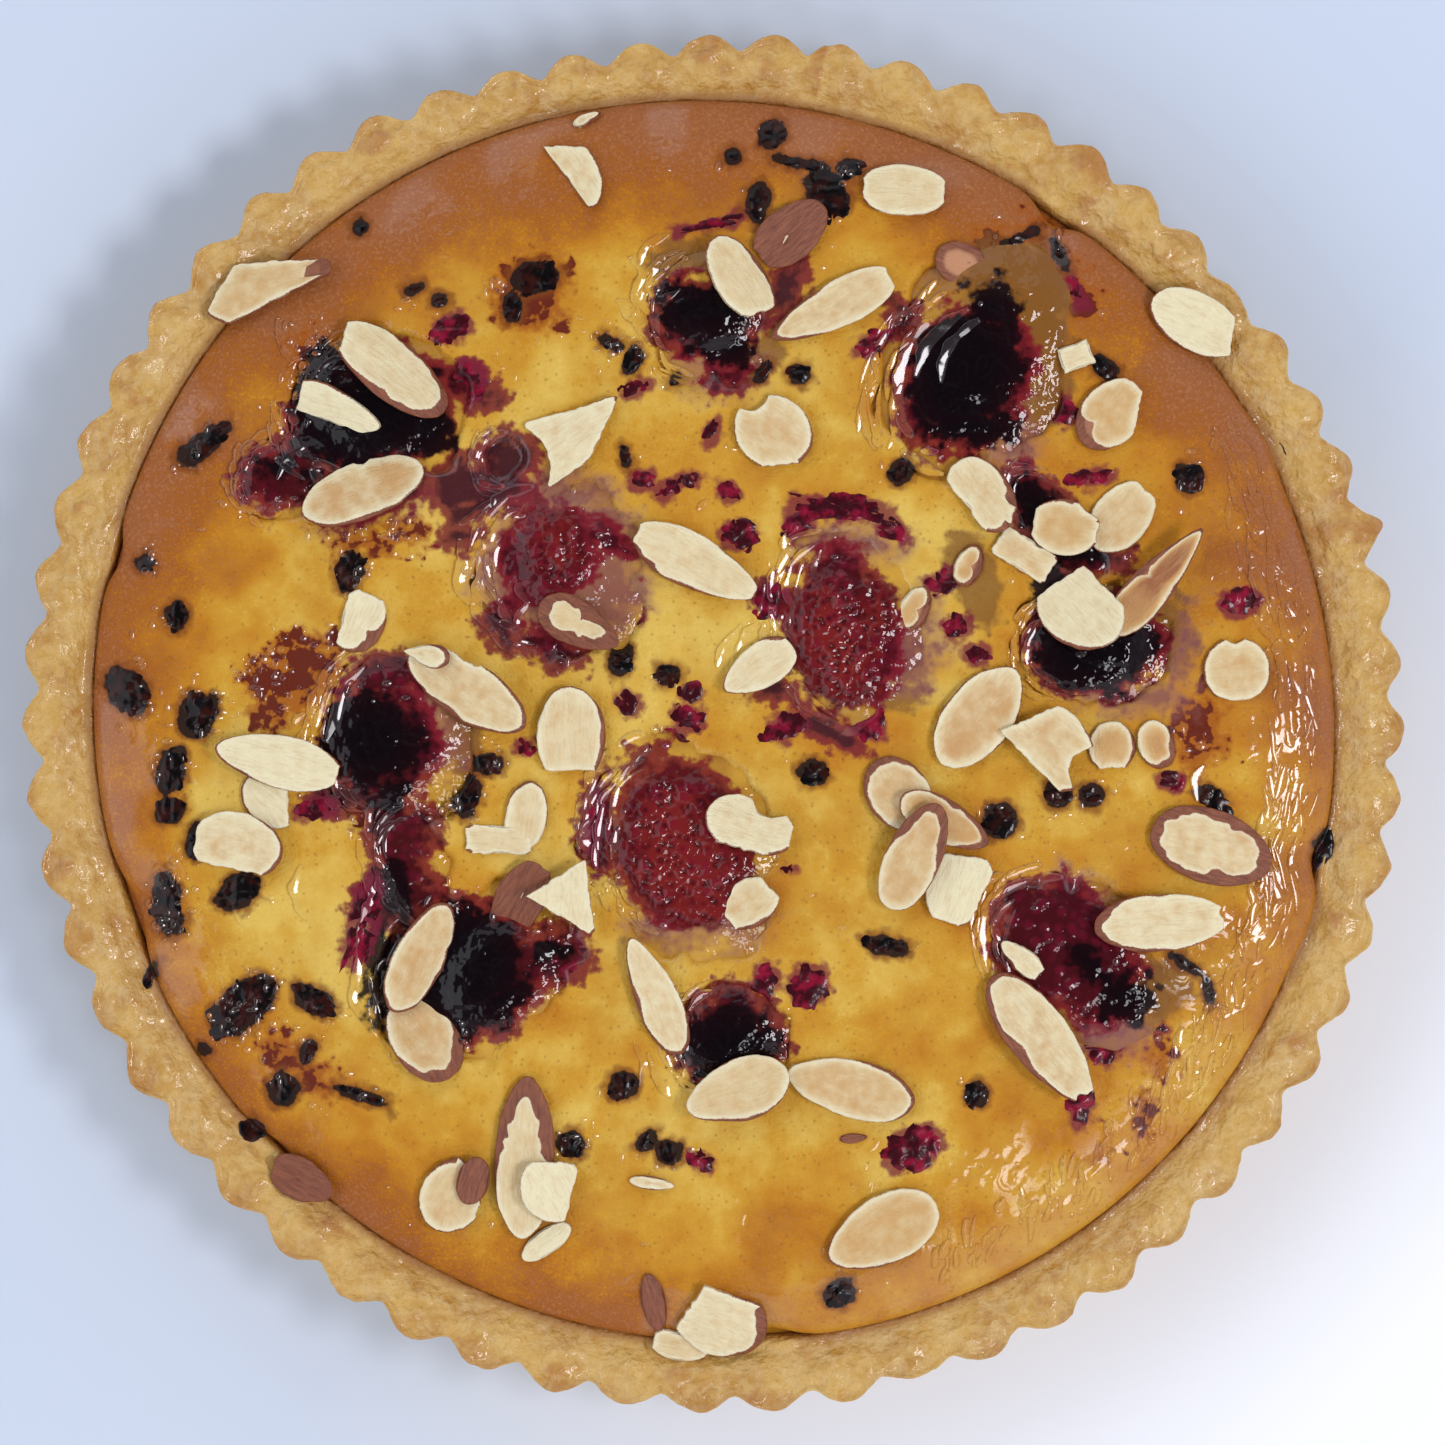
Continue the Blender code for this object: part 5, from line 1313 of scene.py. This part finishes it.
# %% The slices' places, outlines and looks
# x, y, turn of the long axis, length, width, tip (0 round, 1 pointed), breaks (direction, distance
# from the middle), bites (along, across, radius), how pale it is (0 white, 1 tan), how toasted in
# its middle, and its skin: direction in the view, width of the band in mm, half width of its
# stretch in degrees. A slice that shows only its skin has it all round and 40 mm wide.
ALL_SKIN = ((0, 40, 400),)
SLICES = {
    "02": (34.1, 95.8, -2, 16.4, 9.4, 0, ((180, 7.4), (0, 7.5)), (), 0.35, 0.15, ((180, 0.5, 30),)),
    "03": (13.8, 88, 40, 15.6, 10.2, 0.1, ((180, 7),), (), 0.5, 0, ALL_SKIN),
    "04": (4.5, 79.6, -56, 17.6, 10, 0, ((0, 7.4), (-35, 6.8)), ((8.2, -1.2, 1.5),),
        0.4, 0.1, ((15, 1.4, 50), (80, 0.6, 40))),
    "05": (21.6, 74.8, 207, 25, 9.8, 0.45, ((180, 11.6),), (), 0.5, 0.5, ((215, 1, 22), (160, 0.5, 40))),
    "07": (87.3, 72.2, -27, 18.6, 10.4, 0, ((18, 6.8),), (), 0.05, 0, ((190, 0.5, 50),)),
    "09": (71.8, 55.5, 48, 15, 11.2, 0.1, ((0, 6.6), (-60, 4.6)), ((2, -6.6, 1.8),),
        0.85, 0.6, ((215, 3.6, 30),)),
    "10": (-80.9, 78.9, 14, 25, 15, 0.35, ((78, 4), (-79, 3.6), (137, 7.2)), (),
        0.75, 0.5, ((190, 0.6, 60), (10, 5, 22), (270, 0.6, 40))),
    "11": (-58.4, 63.3, -38, 24.8, 11.6, 0, ((-159, 10.2),), (),
        0.3, 0.1, ((20, 1, 60), (315, 1.6, 40), (230, 1.5, 40))),
    "12": (-68.6, 56.4, -18, 19, 9.6, 0.5, ((180, 6.6), (-90, 2.2)), ((3.5, -8.6, 6.6),), 0, 0.05, ()),
    "13": (-63.1, 41.4, 22, 23.4, 11.4, 0.1, (), ((1.6, 6.6, 1.9),), 0.45, 0.95, ((260, 0.4, 60),)),
    "14": (-24.7, 51, 34, 21, 19, 0, ((72, 5.3), (-58, 3.9), (-90, 4.6)), ((-14, 2.6, 8.4),),
        0.2, 0.35, ((55, 1.6, 12), (300, 0.5, 20))),
    "15": (10.7, 52.1, -35, 14.6, 13, 0, ((-50, 6),), ((-7.4, 3.4, 3.2),), 0.55, 0.45, ((290, 0.6, 50),)),
    "16": (48.3, 40.6, -52, 15.4, 11.4, 0.1, ((-90, 3.5), (35, 6.6)), (), 0.4, 0.3, ((350, 1.8, 60),)),
    "17": (63.5, 35, -10, 13, 10.2, 0, ((180, 5.8), (0, 6), (60, 4.8)), (), 0.85, 0.65, ((60, 0.9, 60),)),
    "20": (79.6, 25.2, 49, 25, 9.6, 0.6, (), (), 1, 1.7, ((130, 1.5, 70), (320, 0.6, 60))),
    "21": (66.2, 20.3, -45, 17.8, 14.6, 0, ((169, 6.2), (88, 5.7)), (), 0.15, 0.15, ((250, 0.6, 40),)),
    "22": (-3.3, 28.5, -27, 25, 11, 0.35, ((180, 11.8), (0, 11.8)), (),
        0.3, 0.25, ((175, 1.2, 16), (230, 0.4, 60))),
    "25": (-24.3, 17.4, -28, 16.4, 9.8, 0.45, (), (), 0.5, 0.2, ((0, 3.1, 400),)),
    "26": (8, 9.6, 213, 15.4, 9.2, 0.4, ((180, 7),), (), 0.3, 0.35, ((60, 0.9, 25),)),
    "28": (-44.3, 5.6, -32, 24.6, 10.6, 0, (), ((-3, 11, 6.6),),
        0.5, 0.5, ((215, 1.4, 50), (330, 0.8, 40))),
    "29": (-25.8, -2.7, 90, 18, 12.4, 0, ((180, 6.2),), (), 0.4, 0.25, ((0, 1.1, 60),)),
    "30": (47.7, 0.7, 52, 21.4, 12.8, 0.1, (), (), 0.5, 0.95, ((140, 0.4, 60),)),
    "31": (59.5, -4.4, -38, 20, 15, 0, ((152, 5.7), (-98, 3.9)), ((10, 1.6, 4.4),),
        0.5, 0.6, ((300, 0.5, 40),)),
    "35": (-78.7, -7.3, 168, 23, 10.6, 0.3, ((180, 11),), (), 0.05, 0.1, ((190, 0.6, 30), (0, 0.5, 16))),
    "37": (-86, -22.5, -10, 16.4, 12.4, 0, ((-93, 4.2), (180, 7.7)), (), 0.3, 0.4, ((-30, 0.8, 40),)),
    "39": (6.2, -19, -15, 17, 11, 0, ((90, 5), (-90, 4.6), (0, 7.8)), ((3, 6.2, 3.8),),
        0.2, 0.2, ((300, 0.4, 40),)),
    "42": (-34.8, -31.7, 60, 16.4, 9, 0, ((0, 7.2),), (), 0.5, 0, ALL_SKIN),
    "41": (-26.8, -31.9, 90, 15.8, 15.4, 0, ((31, 4.1), (149, 3.4), (-82, 4.4)), (),
        0.1, 0.1, ((-15, 0.9, 50), (200, 0.5, 30))),
    "43": (33.2, -13, -52, 14.4, 11.2, 0, (), (), 0.65, 0.6, ((130, 1.6, 70), (230, 0.4, 40))),
    "44": (41.5, -18, -28, 18.4, 8.8, 0.3, (), (), 1, 1.15, ((60, 1, 70), (-30, 2.4, 30))),
    "46": (44.2, -29.8, 70, 15, 11.6, 0, ((-93, 4.5), (10, 5.6), (180, 6.8)), (),
        0, 0.05, ((-90, 0.4, 30),)),
    "45": (36.1, -24.3, 65, 21.4, 10.2, 0.1, (), (), 0.7, 0.7, ((25, 1.8, 60), (90, 1.6, 40))),
    "47": (89.8, -22.7, -17, 23.2, 14.2, 0.15, (), (),
        0.45, 0.4, ((150, 2.2, 70), (-20, 2.2, 70), (270, 1.8, 50), (60, 1.6, 40))),
    "48": (80.5, -36.3, 4, 24, 10.8, 0.1, ((0, 11.2),), ((12.2, 1.2, 1.6),),
        0.25, 0.3, ((215, 1, 70), (180, 1.4, 20))),
    "50": (58.6, -57.3, -52, 28.6, 12, 0.2, ((0, 13.2),), ((13.8, -1, 1.5),),
        0.35, 0.5, ((160, 1.2, 70), (230, 1.5, 50))),
    "52": (-52.4, -57.5, -58, 17.4, 12.8, 0, (), (), 0.7, 0.6, ((-60, 2.2, 60), (10, 1, 60))),
    "51": (-53.3, -42.6, 62, 22, 9.8, 0.05, (), (), 0.65, 0.6, ((30, 1, 70), (270, 0.6, 50))),
    "53": (-10.5, -49.7, 114, 23.4, 9.2, 0.45, (), (), 0.35, 0.3, ((200, 1, 60), (300, 1, 40))),
    "54": (4.2, -66.8, 200, 19.4, 12.6, 0.35, (), (), 0.6, 0.3, ((290, 0.6, 60),)),
    "55": (24.7, -66.2, 166, 23, 11.8, 0.3, (), (), 0.7, 0.5, ((20, 0.8, 50),)),
    "56": (30.5, -92, 208, 22, 13.8, 0.3, (), (), 0.9, 0.6, ((250, 0.5, 60),)),
    "57": (-34.2, -78.7, 88, 29.2, 11.4, 0.1, (), (),
        0.4, 0.3, ((75, 2.6, 50), (20, 2.4, 50), (180, 1, 60), (110, 2, 40))),
    "58": (-29.4, -84.2, -60, 13, 11.6, 0, ((144, 4.8), (45, 3.8)), (), 0, 0.05, ()),
    "60": (-47, -85.6, 60, 14.4, 11.6, 0, ((0, 6.4), (-75, 5)), (),
        0.6, 0.5, ((30, 3, 40), (100, 0.5, 40))),
    "62": (-74.6, -82.9, -22, 13, 8.8, 0.2, ((180, 5.8),), (), 0.6, 0, ALL_SKIN),
    "65": (1.1, -107.9, -25, 18, 14.4, 0, ((175, 6.1), (92, 5.3)), (),
        0.25, 0.2, ((20, 1.3, 50), (-30, 1.5, 40))),
}
BITS = {
    "01": (-25.6, 98.7, -54, 15, 11.4, 0.35, ((-90, 1.2), (144, 5.2)), (), 0.3, 0.4, ((215, 0.6, 40),)),
    "06": (44.6, 82.7, -20, 9.6, 7.8, 0, (), (), 1, 0, ALL_SKIN),
    "08": (65.3, 65.9, 20, 9, 8, 0, ((0, 2.9), (180, 2.9), (90, 2.2), (-90, 2.4)), (), 0.25, 0.2, ()),
    "18": (73.5, 36.8, 48, 15, 10.4, 0.1, ((0, 6.6),), (), 0.65, 0.45, ()),
    "19": (56, 29.9, -32, 13, 9, 0, ((0, 5.6), (180, 5.6), (90, 2.8), (-90, 2.8)), (),
        0.55, 0.4, ((20, 0.8, 40),)),
    "24": (36.3, 20.3, 62, 8.8, 6, 0.2, (), (), 1, 0.8, ((-30, 3.2, 60),)),
    "27": (-64, 18.1, 65, 12, 9.4, 0, ((100, 3), (0, 5.2)), (), 0.1, 0.1, ((-60, 2.6, 40),)),
    "32": (71.8, -4.7, 90, 9.2, 8.6, 0, ((180, 3.8),), (), 1, 1.1, ((0, 0.8, 40),)),
    "33": (79.8, -4.2, 110, 9.2, 6.8, 0, (), (), 1, 1.3, ((-30, 1.6, 70),)),
    "34": (94.3, 9.3, 0, 12.4, 11.6, 0, (), ((-0.4, 7.2, 2.4),), 0.65, 0.4, ()),
    "36": (-80.2, -14.3, -45, 11.4, 9, 0, ((45, 3.4),), (), 0.1, 0.1, ((200, 0.6, 60),)),
    "38": (-38.8, -21.4, -2, 14.4, 7, 0, ((0, 6), (180, 6), (90, 2.5), (-90, 2.6)), (),
        0.4, 0.2, ((200, 0.4, 60),)),
    "38b": (-33.9, -17.2, 80, 12.8, 7.6, 0, ((180, 6),), (), 0.4, 0.2, ((90, 0.5, 60),)),
    "40": (6.7, -32.8, 40, 11.4, 8.6, 0, ((0, 4.6), (180, 5)), (), 0.5, 0.4, ((270, 0.8, 50),)),
    "49": (55.5, -43, 140, 9.8, 5.2, 0.4, ((180, 4.2),), (), 0.3, 0.25, ((180, 0.5, 40),)),
    "59": (-30.3, -94.1, 36, 10.6, 4.6, 0, (), (), 0.05, 0.05, ()),
    "64": (-10.9, -105, -80, 11, 4.4, 0, (), (), 0.5, 0, ALL_SKIN),
    "23": (46, 28.1, 65, 8.2, 5.6, 0.2, (), (), 1, 1.2, ((-20, 2.6, 70),)),
    "63": (-11.2, -83.4, -8, 8, 2.6, 0.3, (), (), 0.4, 0.5, ()),
    "67": (25.2, -75.3, 5, 5, 2, 0.3, (), (), 0.5, 0, ALL_SKIN),
    "68": (-23, 108.7, 25, 5.5, 2.2, 0.3, (), (), 0.6, 0.3, ((0, 0.6, 60),)),
    "28b": (-51.5, 12, 170, 8.6, 5.6, 0.8, (), (), 0.3, 0.3, ((0, 0.8, 60),)),
    "61": (-43.4, -82.9, 75, 9, 6, 0, (), (), 0.5, 0, ALL_SKIN),
    "66": (-6.2, -112.6, -12, 11.4, 6.4, 0, ((180, 5), (90, 2.4)), (), 0.5, 0.4, ()),
}
# Bits that lie on or under a slice: that slice, and how far their underside is below its top.
RESTS = {"28b": ("28", 0.0), "61": ("60", 0.0), "66": ("65", 2.7)}
SLICE_THICKNESS = 1.4
# A bit that lies on the filling slides off any slope steeper than this.
STEEPEST = 0.42
SLICE_AROUND = 120
# Each row of a slice: share of the outline, mm drawn in from it, and height.
SLICE_ROWS = [(share, 0.0, 1.4) for share in (0.1, 0.22, 0.35, 0.48, 0.6, 0.72, 0.82, 0.9)]
SLICE_ROWS += [(1.0, 0.34, 1.39), (1.0, 0.1, 1.31), (1.0, 0.0, 1.1), (1.0, 0.02, 0.55), (1.0, 0.25, 0.05)]


def slice_outline(length, width, tip, breaks, bites):
    """The outline about its middle: x = length / 2 * cos t, y = width / 2 * sin t * (1 - tip *
    ((1 + cos t) / 2)^1.5), cut back along each spoke by straight breaks and by round bites."""
    turn = circle(SLICE_AROUND)
    across = 0.5 * width * np.sin(turn) * (1.0 - tip * ((1.0 + np.cos(turn)) / 2.0) ** 1.5)
    outline = np.stack([0.5 * length * np.cos(turn), across], axis=1)
    ragged = np.zeros(SLICE_AROUND)
    for direction, distance in breaks:
        normal = np.array([math.cos(math.radians(direction)), math.sin(math.radians(direction))])
        reach = outline @ normal
        outline = outline * np.where(reach > distance, distance / np.maximum(reach, 1e-6), 1.0)[:, None]
        ragged = np.where(reach > distance, 1.0, ragged)
    for along, side, radius in bites:
        size = np.linalg.norm(outline, axis=1)
        middle = (outline @ np.array([along, side])) / size
        inside = radius**2 - (along**2 + side**2) + middle**2
        near = middle - np.sqrt(np.maximum(inside, 0.0))
        bitten = (inside > 0.0) & (near > 0.0) & (near < size)
        outline = outline * np.where(bitten, near / size, 1.0)[:, None]
        ragged = np.where(bitten, 1.0, ragged)
    return outline, ragged


def slice_rows(shape, turn, look, seed):
    """A slice about its own middle: rows of the outline, its height rising and falling with
    noise, and what the material needs: distance in from the skin's edge, toast and tone."""
    outline, ragged = slice_outline(*shape)
    reach = np.linalg.norm(outline, axis=1)
    spoke = outline / reach[:, None]
    edge_places = np.concatenate([outline, np.zeros((SLICE_AROUND, 1))], 1)
    reach = reach * (1.0 + 0.028 * noise(edge_places, 4.0, seed)) + 0.09 * noise(edge_places, 1.1, seed)
    reach = reach + 0.2 * ragged * noise(edge_places, 0.9, seed + 5)
    table = np.array(SLICE_ROWS)
    out = np.maximum(table[:, 0:1] * reach - table[:, 1:2], 0.02)
    flat = out[..., None] * spoke
    places = np.concatenate([flat, np.zeros((*out.shape, 1))], -1)
    direction = np.degrees(np.arctan2(spoke[:, 1], spoke[:, 0])) + turn
    thin = np.clip(0.04 + 0.3 * noise(edge_places, 6.0, seed + 4), 0.0, 0.3)
    band = bells(direction, look[2]) * (0.85 + 0.3 * noise(edge_places, 2.0, seed + 6))
    width = thin * (1.0 - ragged) + band * (1.0 - 0.8 * ragged)
    inside = reach - out
    skin = width - inside
    warp = 0.28 * noise(places, 6.5, seed + 1) + 0.14 * noise(places, 2.4, seed + 2)
    lowered = 0.5 * step(-0.4, 1.2, skin) * (width > 0.5)
    high = table[:, 2:3] + warp - lowered * (table[:, 2:3] > 0.6)
    toast = look[1] * step(0.3, 3.2, inside) * (0.75 + 0.35 * noise(places, 5.0, seed + 3))
    rows = np.concatenate([flat, high[..., None]], -1)
    # Paler towards the outline: a painted highlight on the rounded edge.
    tone = look[0] * (0.35 + 0.65 * step(0.2, 2.2, inside))
    return rows, {"skin": skin, "toast": toast, "tone": tone}


def solid_plane(node):
    """A slice solid's plane: the normal of its largest upward face, and the height on the spot
    under its middle, found from that face's centre."""
    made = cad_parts[node]
    spin = made.matrix_world.to_3x3()
    face = max(made.data.polygons, key=lambda face: face.area * ((spin @ face.normal).z > 0.3))
    normal = (spin @ face.normal).normalized()
    return np.array(normal), np.array(made.matrix_world @ face.center) / MM


def ground_plane(x, y, reach):
    """The plane of least squares through the filling's top under a bit, or through the juice in
    its hollows, and the bit's height: its bottom just below the highest place under it."""
    steps = np.linspace(-reach, reach, 9)
    dx, dy = (part.ravel() for part in np.meshgrid(steps, steps))
    inside = edge_place(x + dx, y + dy)[1] > 0.0
    sunk = np.minimum(hollow_depth(x + dx, y + dy), 0.7)
    ground = np.where(inside, smooth_top(x + dx, y + dy) - sunk, RIM_HEIGHT)
    table = np.stack([dx, dy, np.ones_like(dx)], 1)
    slope_x, slope_y, _ = np.linalg.lstsq(table, ground, rcond=None)[0]
    steep = max(1.0, math.hypot(slope_x, slope_y) / STEEPEST)
    normal = np.array([-slope_x / steep, -slope_y / steep, 1.0])
    high = (ground + (normal[0] * dx + normal[1] * dy)).max() - 0.4
    return normal / np.linalg.norm(normal), np.array([x, y, high])


def lay(rows, x, y, turn, normal, on_plane, thickness):
    """Turns rows about the vertical, tilts them so that up becomes the normal (the shortest turn:
    v + a x v + a x (a x v) / (1 + n.z) with a = up x n), and moves them to the plane."""
    spun = np.stack([*turned(rows[:, 0], rows[:, 1], turn), rows[:, 2]], -1)
    axis = np.cross([0.0, 0.0, 1.0], normal)
    first = np.cross(axis, spun)
    tilted = spun + first + np.cross(axis, first) / (1.0 + normal[2])
    away = on_plane - [x, y, 0.0]
    lift = (normal @ away - thickness) / normal[2]
    return tilted + [x, y, lift]


# %% Toasted almond and its skin
almond, tree, shader, _, layer = new_material("toasted_sliced_almond", ("skin", "toast", "tone"))
place = add(tree, "Attribute", None, {"attribute_name": "grain"}).outputs["Vector"]
# Fibres run along the slice: 0.5 mm apart across it and 4 mm long. Wrinkles of the skin likewise.
# Its cells are 0.3 mm across, and it browns in patches of 2 mm.
drawn = add(tree, "VectorMath", {0: place, 1: (0.35, 2.0, 1.0)}, TIMES)
(fibres,) = textures(tree, drawn, "TexNoise", (1.0, 4.0, 0.6))
cells, wide = textures(tree, place, "TexNoise", (3.2, 3.0), (0.45, 3.0))
pale = shifted(tree, layer["tone"], [(wide, 0.8, 0.5)])
brown = shifted(tree, layer["toast"], [(wide, 0.9, 0.5)])
frayed = shifted(tree, layer["skin"], [(cells, 0.5, 0.5)])
# Flesh from white to tan, then toasted, scorched, veined, and painted paler next to the skin as a
# painted highlight on the rounded edge.
colour = add(tree, "Mix", {0: pale, 6: "#efe3b8", 7: "#d4a968"}, RGBA)
flesh = [
    (brown, 0.15, 1.0, 0.85, "#cc9757", SMOOTH),
    (layer["toast"], 0.9, 1.7, 1.0, "#9c5c2c"),
    (fibres, 0.46, 0.7, 0.3, "#c9a670", SMOOTH),
    (layer["skin"], -1.1, -0.2, 0.42, "#f4ebcc", SMOOTH),
]
hide = [(fibres, 0.3, 0.7, 1.0, "#965433"), (layer["tone"], 0.7, 1.0, 0.85, "#cd9167")]
hide = over(tree, "#6d3621", hide)
colour = over(tree, colour, [*flesh, (frayed, -0.12, 0.12, 1.0, hide, SMOOTH)])
height = add(tree, "Math", {0: fibres, 1: 1.5, 2: cells}, MULTIPLY_ADD)
bump = add(tree, "Bump", {"Strength": 0.5, "Distance": 0.0004, "Height": height})
feed(tree, shader, {"Base Color": colour, "Normal": bump, "Roughness": 0.42})
almond_skin = almond.copy()
almond_skin.name = "almond_skin_side"

# %% Lay the slices
slice_faces = closed_faces(len(SLICE_ROWS), SLICE_AROUND, False)
for number, (name, (x, y, turn, *rest)) in enumerate({**SLICES, **BITS}.items()):
    shape, look = rest[:5], rest[5:]
    rows, kept = slice_rows(shape, turn, look, 300 + 7 * number)
    tips = np.array([[0.0, 0.0, rows[0, :, 2].mean()], [0.0, 0.0, 0.05]])
    local = np.concatenate([rows.reshape(-1, 3), tips])
    if name in RESTS:
        under, thickness = RESTS[name]
        normal, on_plane = solid_plane("almond_" + under)
    elif name in SLICES:
        normal, on_plane = solid_plane("almond_" + name)
        thickness = SLICE_THICKNESS
    else:
        normal, on_plane = ground_plane(x, y, 0.35 * shape[0])
        thickness = 0.0
    kept = {key: np.concatenate([value.ravel(), [value[0, 0], -1.0]]) for key, value in kept.items()}
    kept["grain"] = local + [0.0, 0.0, 10.0 * number]
    skin_up = any(stretch > 300 for _, _, stretch in look[2])
    piece = make_piece(
        "slice_" + name,
        lay(local, x, y, turn, normal, on_plane, thickness),
        *slice_faces,
        almond_skin if skin_up else almond,
        ["almond_" + name] if name in SLICES else [],
        **kept,
    )
print("almond pieces:", number + 1)

# %% [markdown]
# ## Table, light and camera
#
# The view is straight down, as a tart is shown on a counter. A bright window to the right is
# what the glaze mirrors along that side and in the hollows' left walls, and the foot of a second
# one lights the lower right; the pale room fills the shadows.

# %% The table
# A pale board, whiter towards the lower right, where a pool of sunlight is painted on it.
table_material, tree, shader, place, _ = new_material("pale_lacquered_board")
clouds = add(tree, "TexNoise", {"Vector": place, "Scale": 3.0, "Detail": 2.0})
colour = add(tree, "Mix", {0: clouds, 6: "#c5d3e7", 7: "#d7dfea"}, RGBA)
painted_sunlight_way = add(tree, "VectorMath", {0: place, 1: (1.0, -1.0, 0.0)}, {"operation": "DOT_PRODUCT"})
colour = over(tree, colour, [(painted_sunlight_way.outputs["Value"], 0.05, 0.24, 1.0, "#fbfcff")])
feed(tree, shader, {"Base Color": colour, "Roughness": 0.6})
TABLE_HALF = 2.5
corners = [(-1, -1), (1, -1), (1, 1), (-1, 1)]
# It lies 0.2 mm under the tart.
corners = [(TABLE_HALF * x, TABLE_HALF * y, -0.0002) for x, y in corners]
table_mesh = bpy.data.meshes.new("table")
table_mesh.from_pydata(corners, [], [(0, 1, 2, 3)])
table_mesh.materials.append(table_material)
table = bpy.data.objects.new("table", table_mesh)
bpy.context.scene.collection.objects.link(table)

# %% Light and camera
def window(name, at, width, height, watts, hex_colour):
    """A soft rectangular light aimed at the tart."""
    light = bpy.data.lights.new(name, "AREA")
    light.shape, light.size, light.size_y = "RECTANGLE", width, height
    light.energy, light.color = watts, linear(hex_colour)[:3]
    lamp = bpy.data.objects.new(name, light)
    bpy.context.scene.collection.objects.link(lamp)
    lamp.location = at
    lamp.rotation_euler = (-lamp.location).to_track_quat("-Z", "Y").to_euler()


window("window_right", (1.24, -0.20, 1.84), 0.54, 0.40, 15.4, "#fdfaff")
window("window_low", (0.61, -0.72, 1.9), 0.36, 0.36, 4.2, "#fdfaff")
window("room_near", (0.5, -1.5, 1.5), 2.2, 1.5, 7.9, "#f6f8ff")
window("room_left", (-1.6, -0.1, 1.4), 2.2, 1.5, 13.6, "#f3f6ff")
window("room_far", (-0.3, 1.6, 1.4), 2.2, 1.5, 9.0, "#f3f6ff")
# The room's own light falls from 0.8 at the horizon to 0.08 overhead, where a dark ceiling is what
# lets black juice look black.
world = bpy.data.worlds.new("pale_room")
world.use_nodes = True
sky = world.node_tree
way = add(sky, "TexCoord").outputs["Generated"]
climb = add(sky, "SeparateXYZ", {0: way}).outputs["Z"]
glow = add(sky, "MapRange", {0: climb, 1: 0.35, 2: 1.0, 3: 0.8, 4: 0.08})
feed(sky, sky.nodes["Background"], {"Color": "#e9effc", "Strength": glow})
scene = bpy.context.scene
scene.world = world
scene.view_settings.view_transform = "Standard"

camera = bpy.data.objects.new("camera", bpy.data.cameras.new("camera"))
scene.collection.objects.link(camera)
# Metres over the rim, the width in view there in metres, and the sensor in millimetres.
CAMERA_HEIGHT, VIEW_WIDTH, SENSOR_WIDTH = 1.4, 0.2621, 36.0
camera.location = (0.00154, -0.00027, RIM_HEIGHT * MM + CAMERA_HEIGHT)
camera.data.sensor_width = SENSOR_WIDTH
camera.data.lens = SENSOR_WIDTH * CAMERA_HEIGHT / VIEW_WIDTH
scene.camera = camera

# %% Sizes, and finish
bpy.context.view_layer.update()
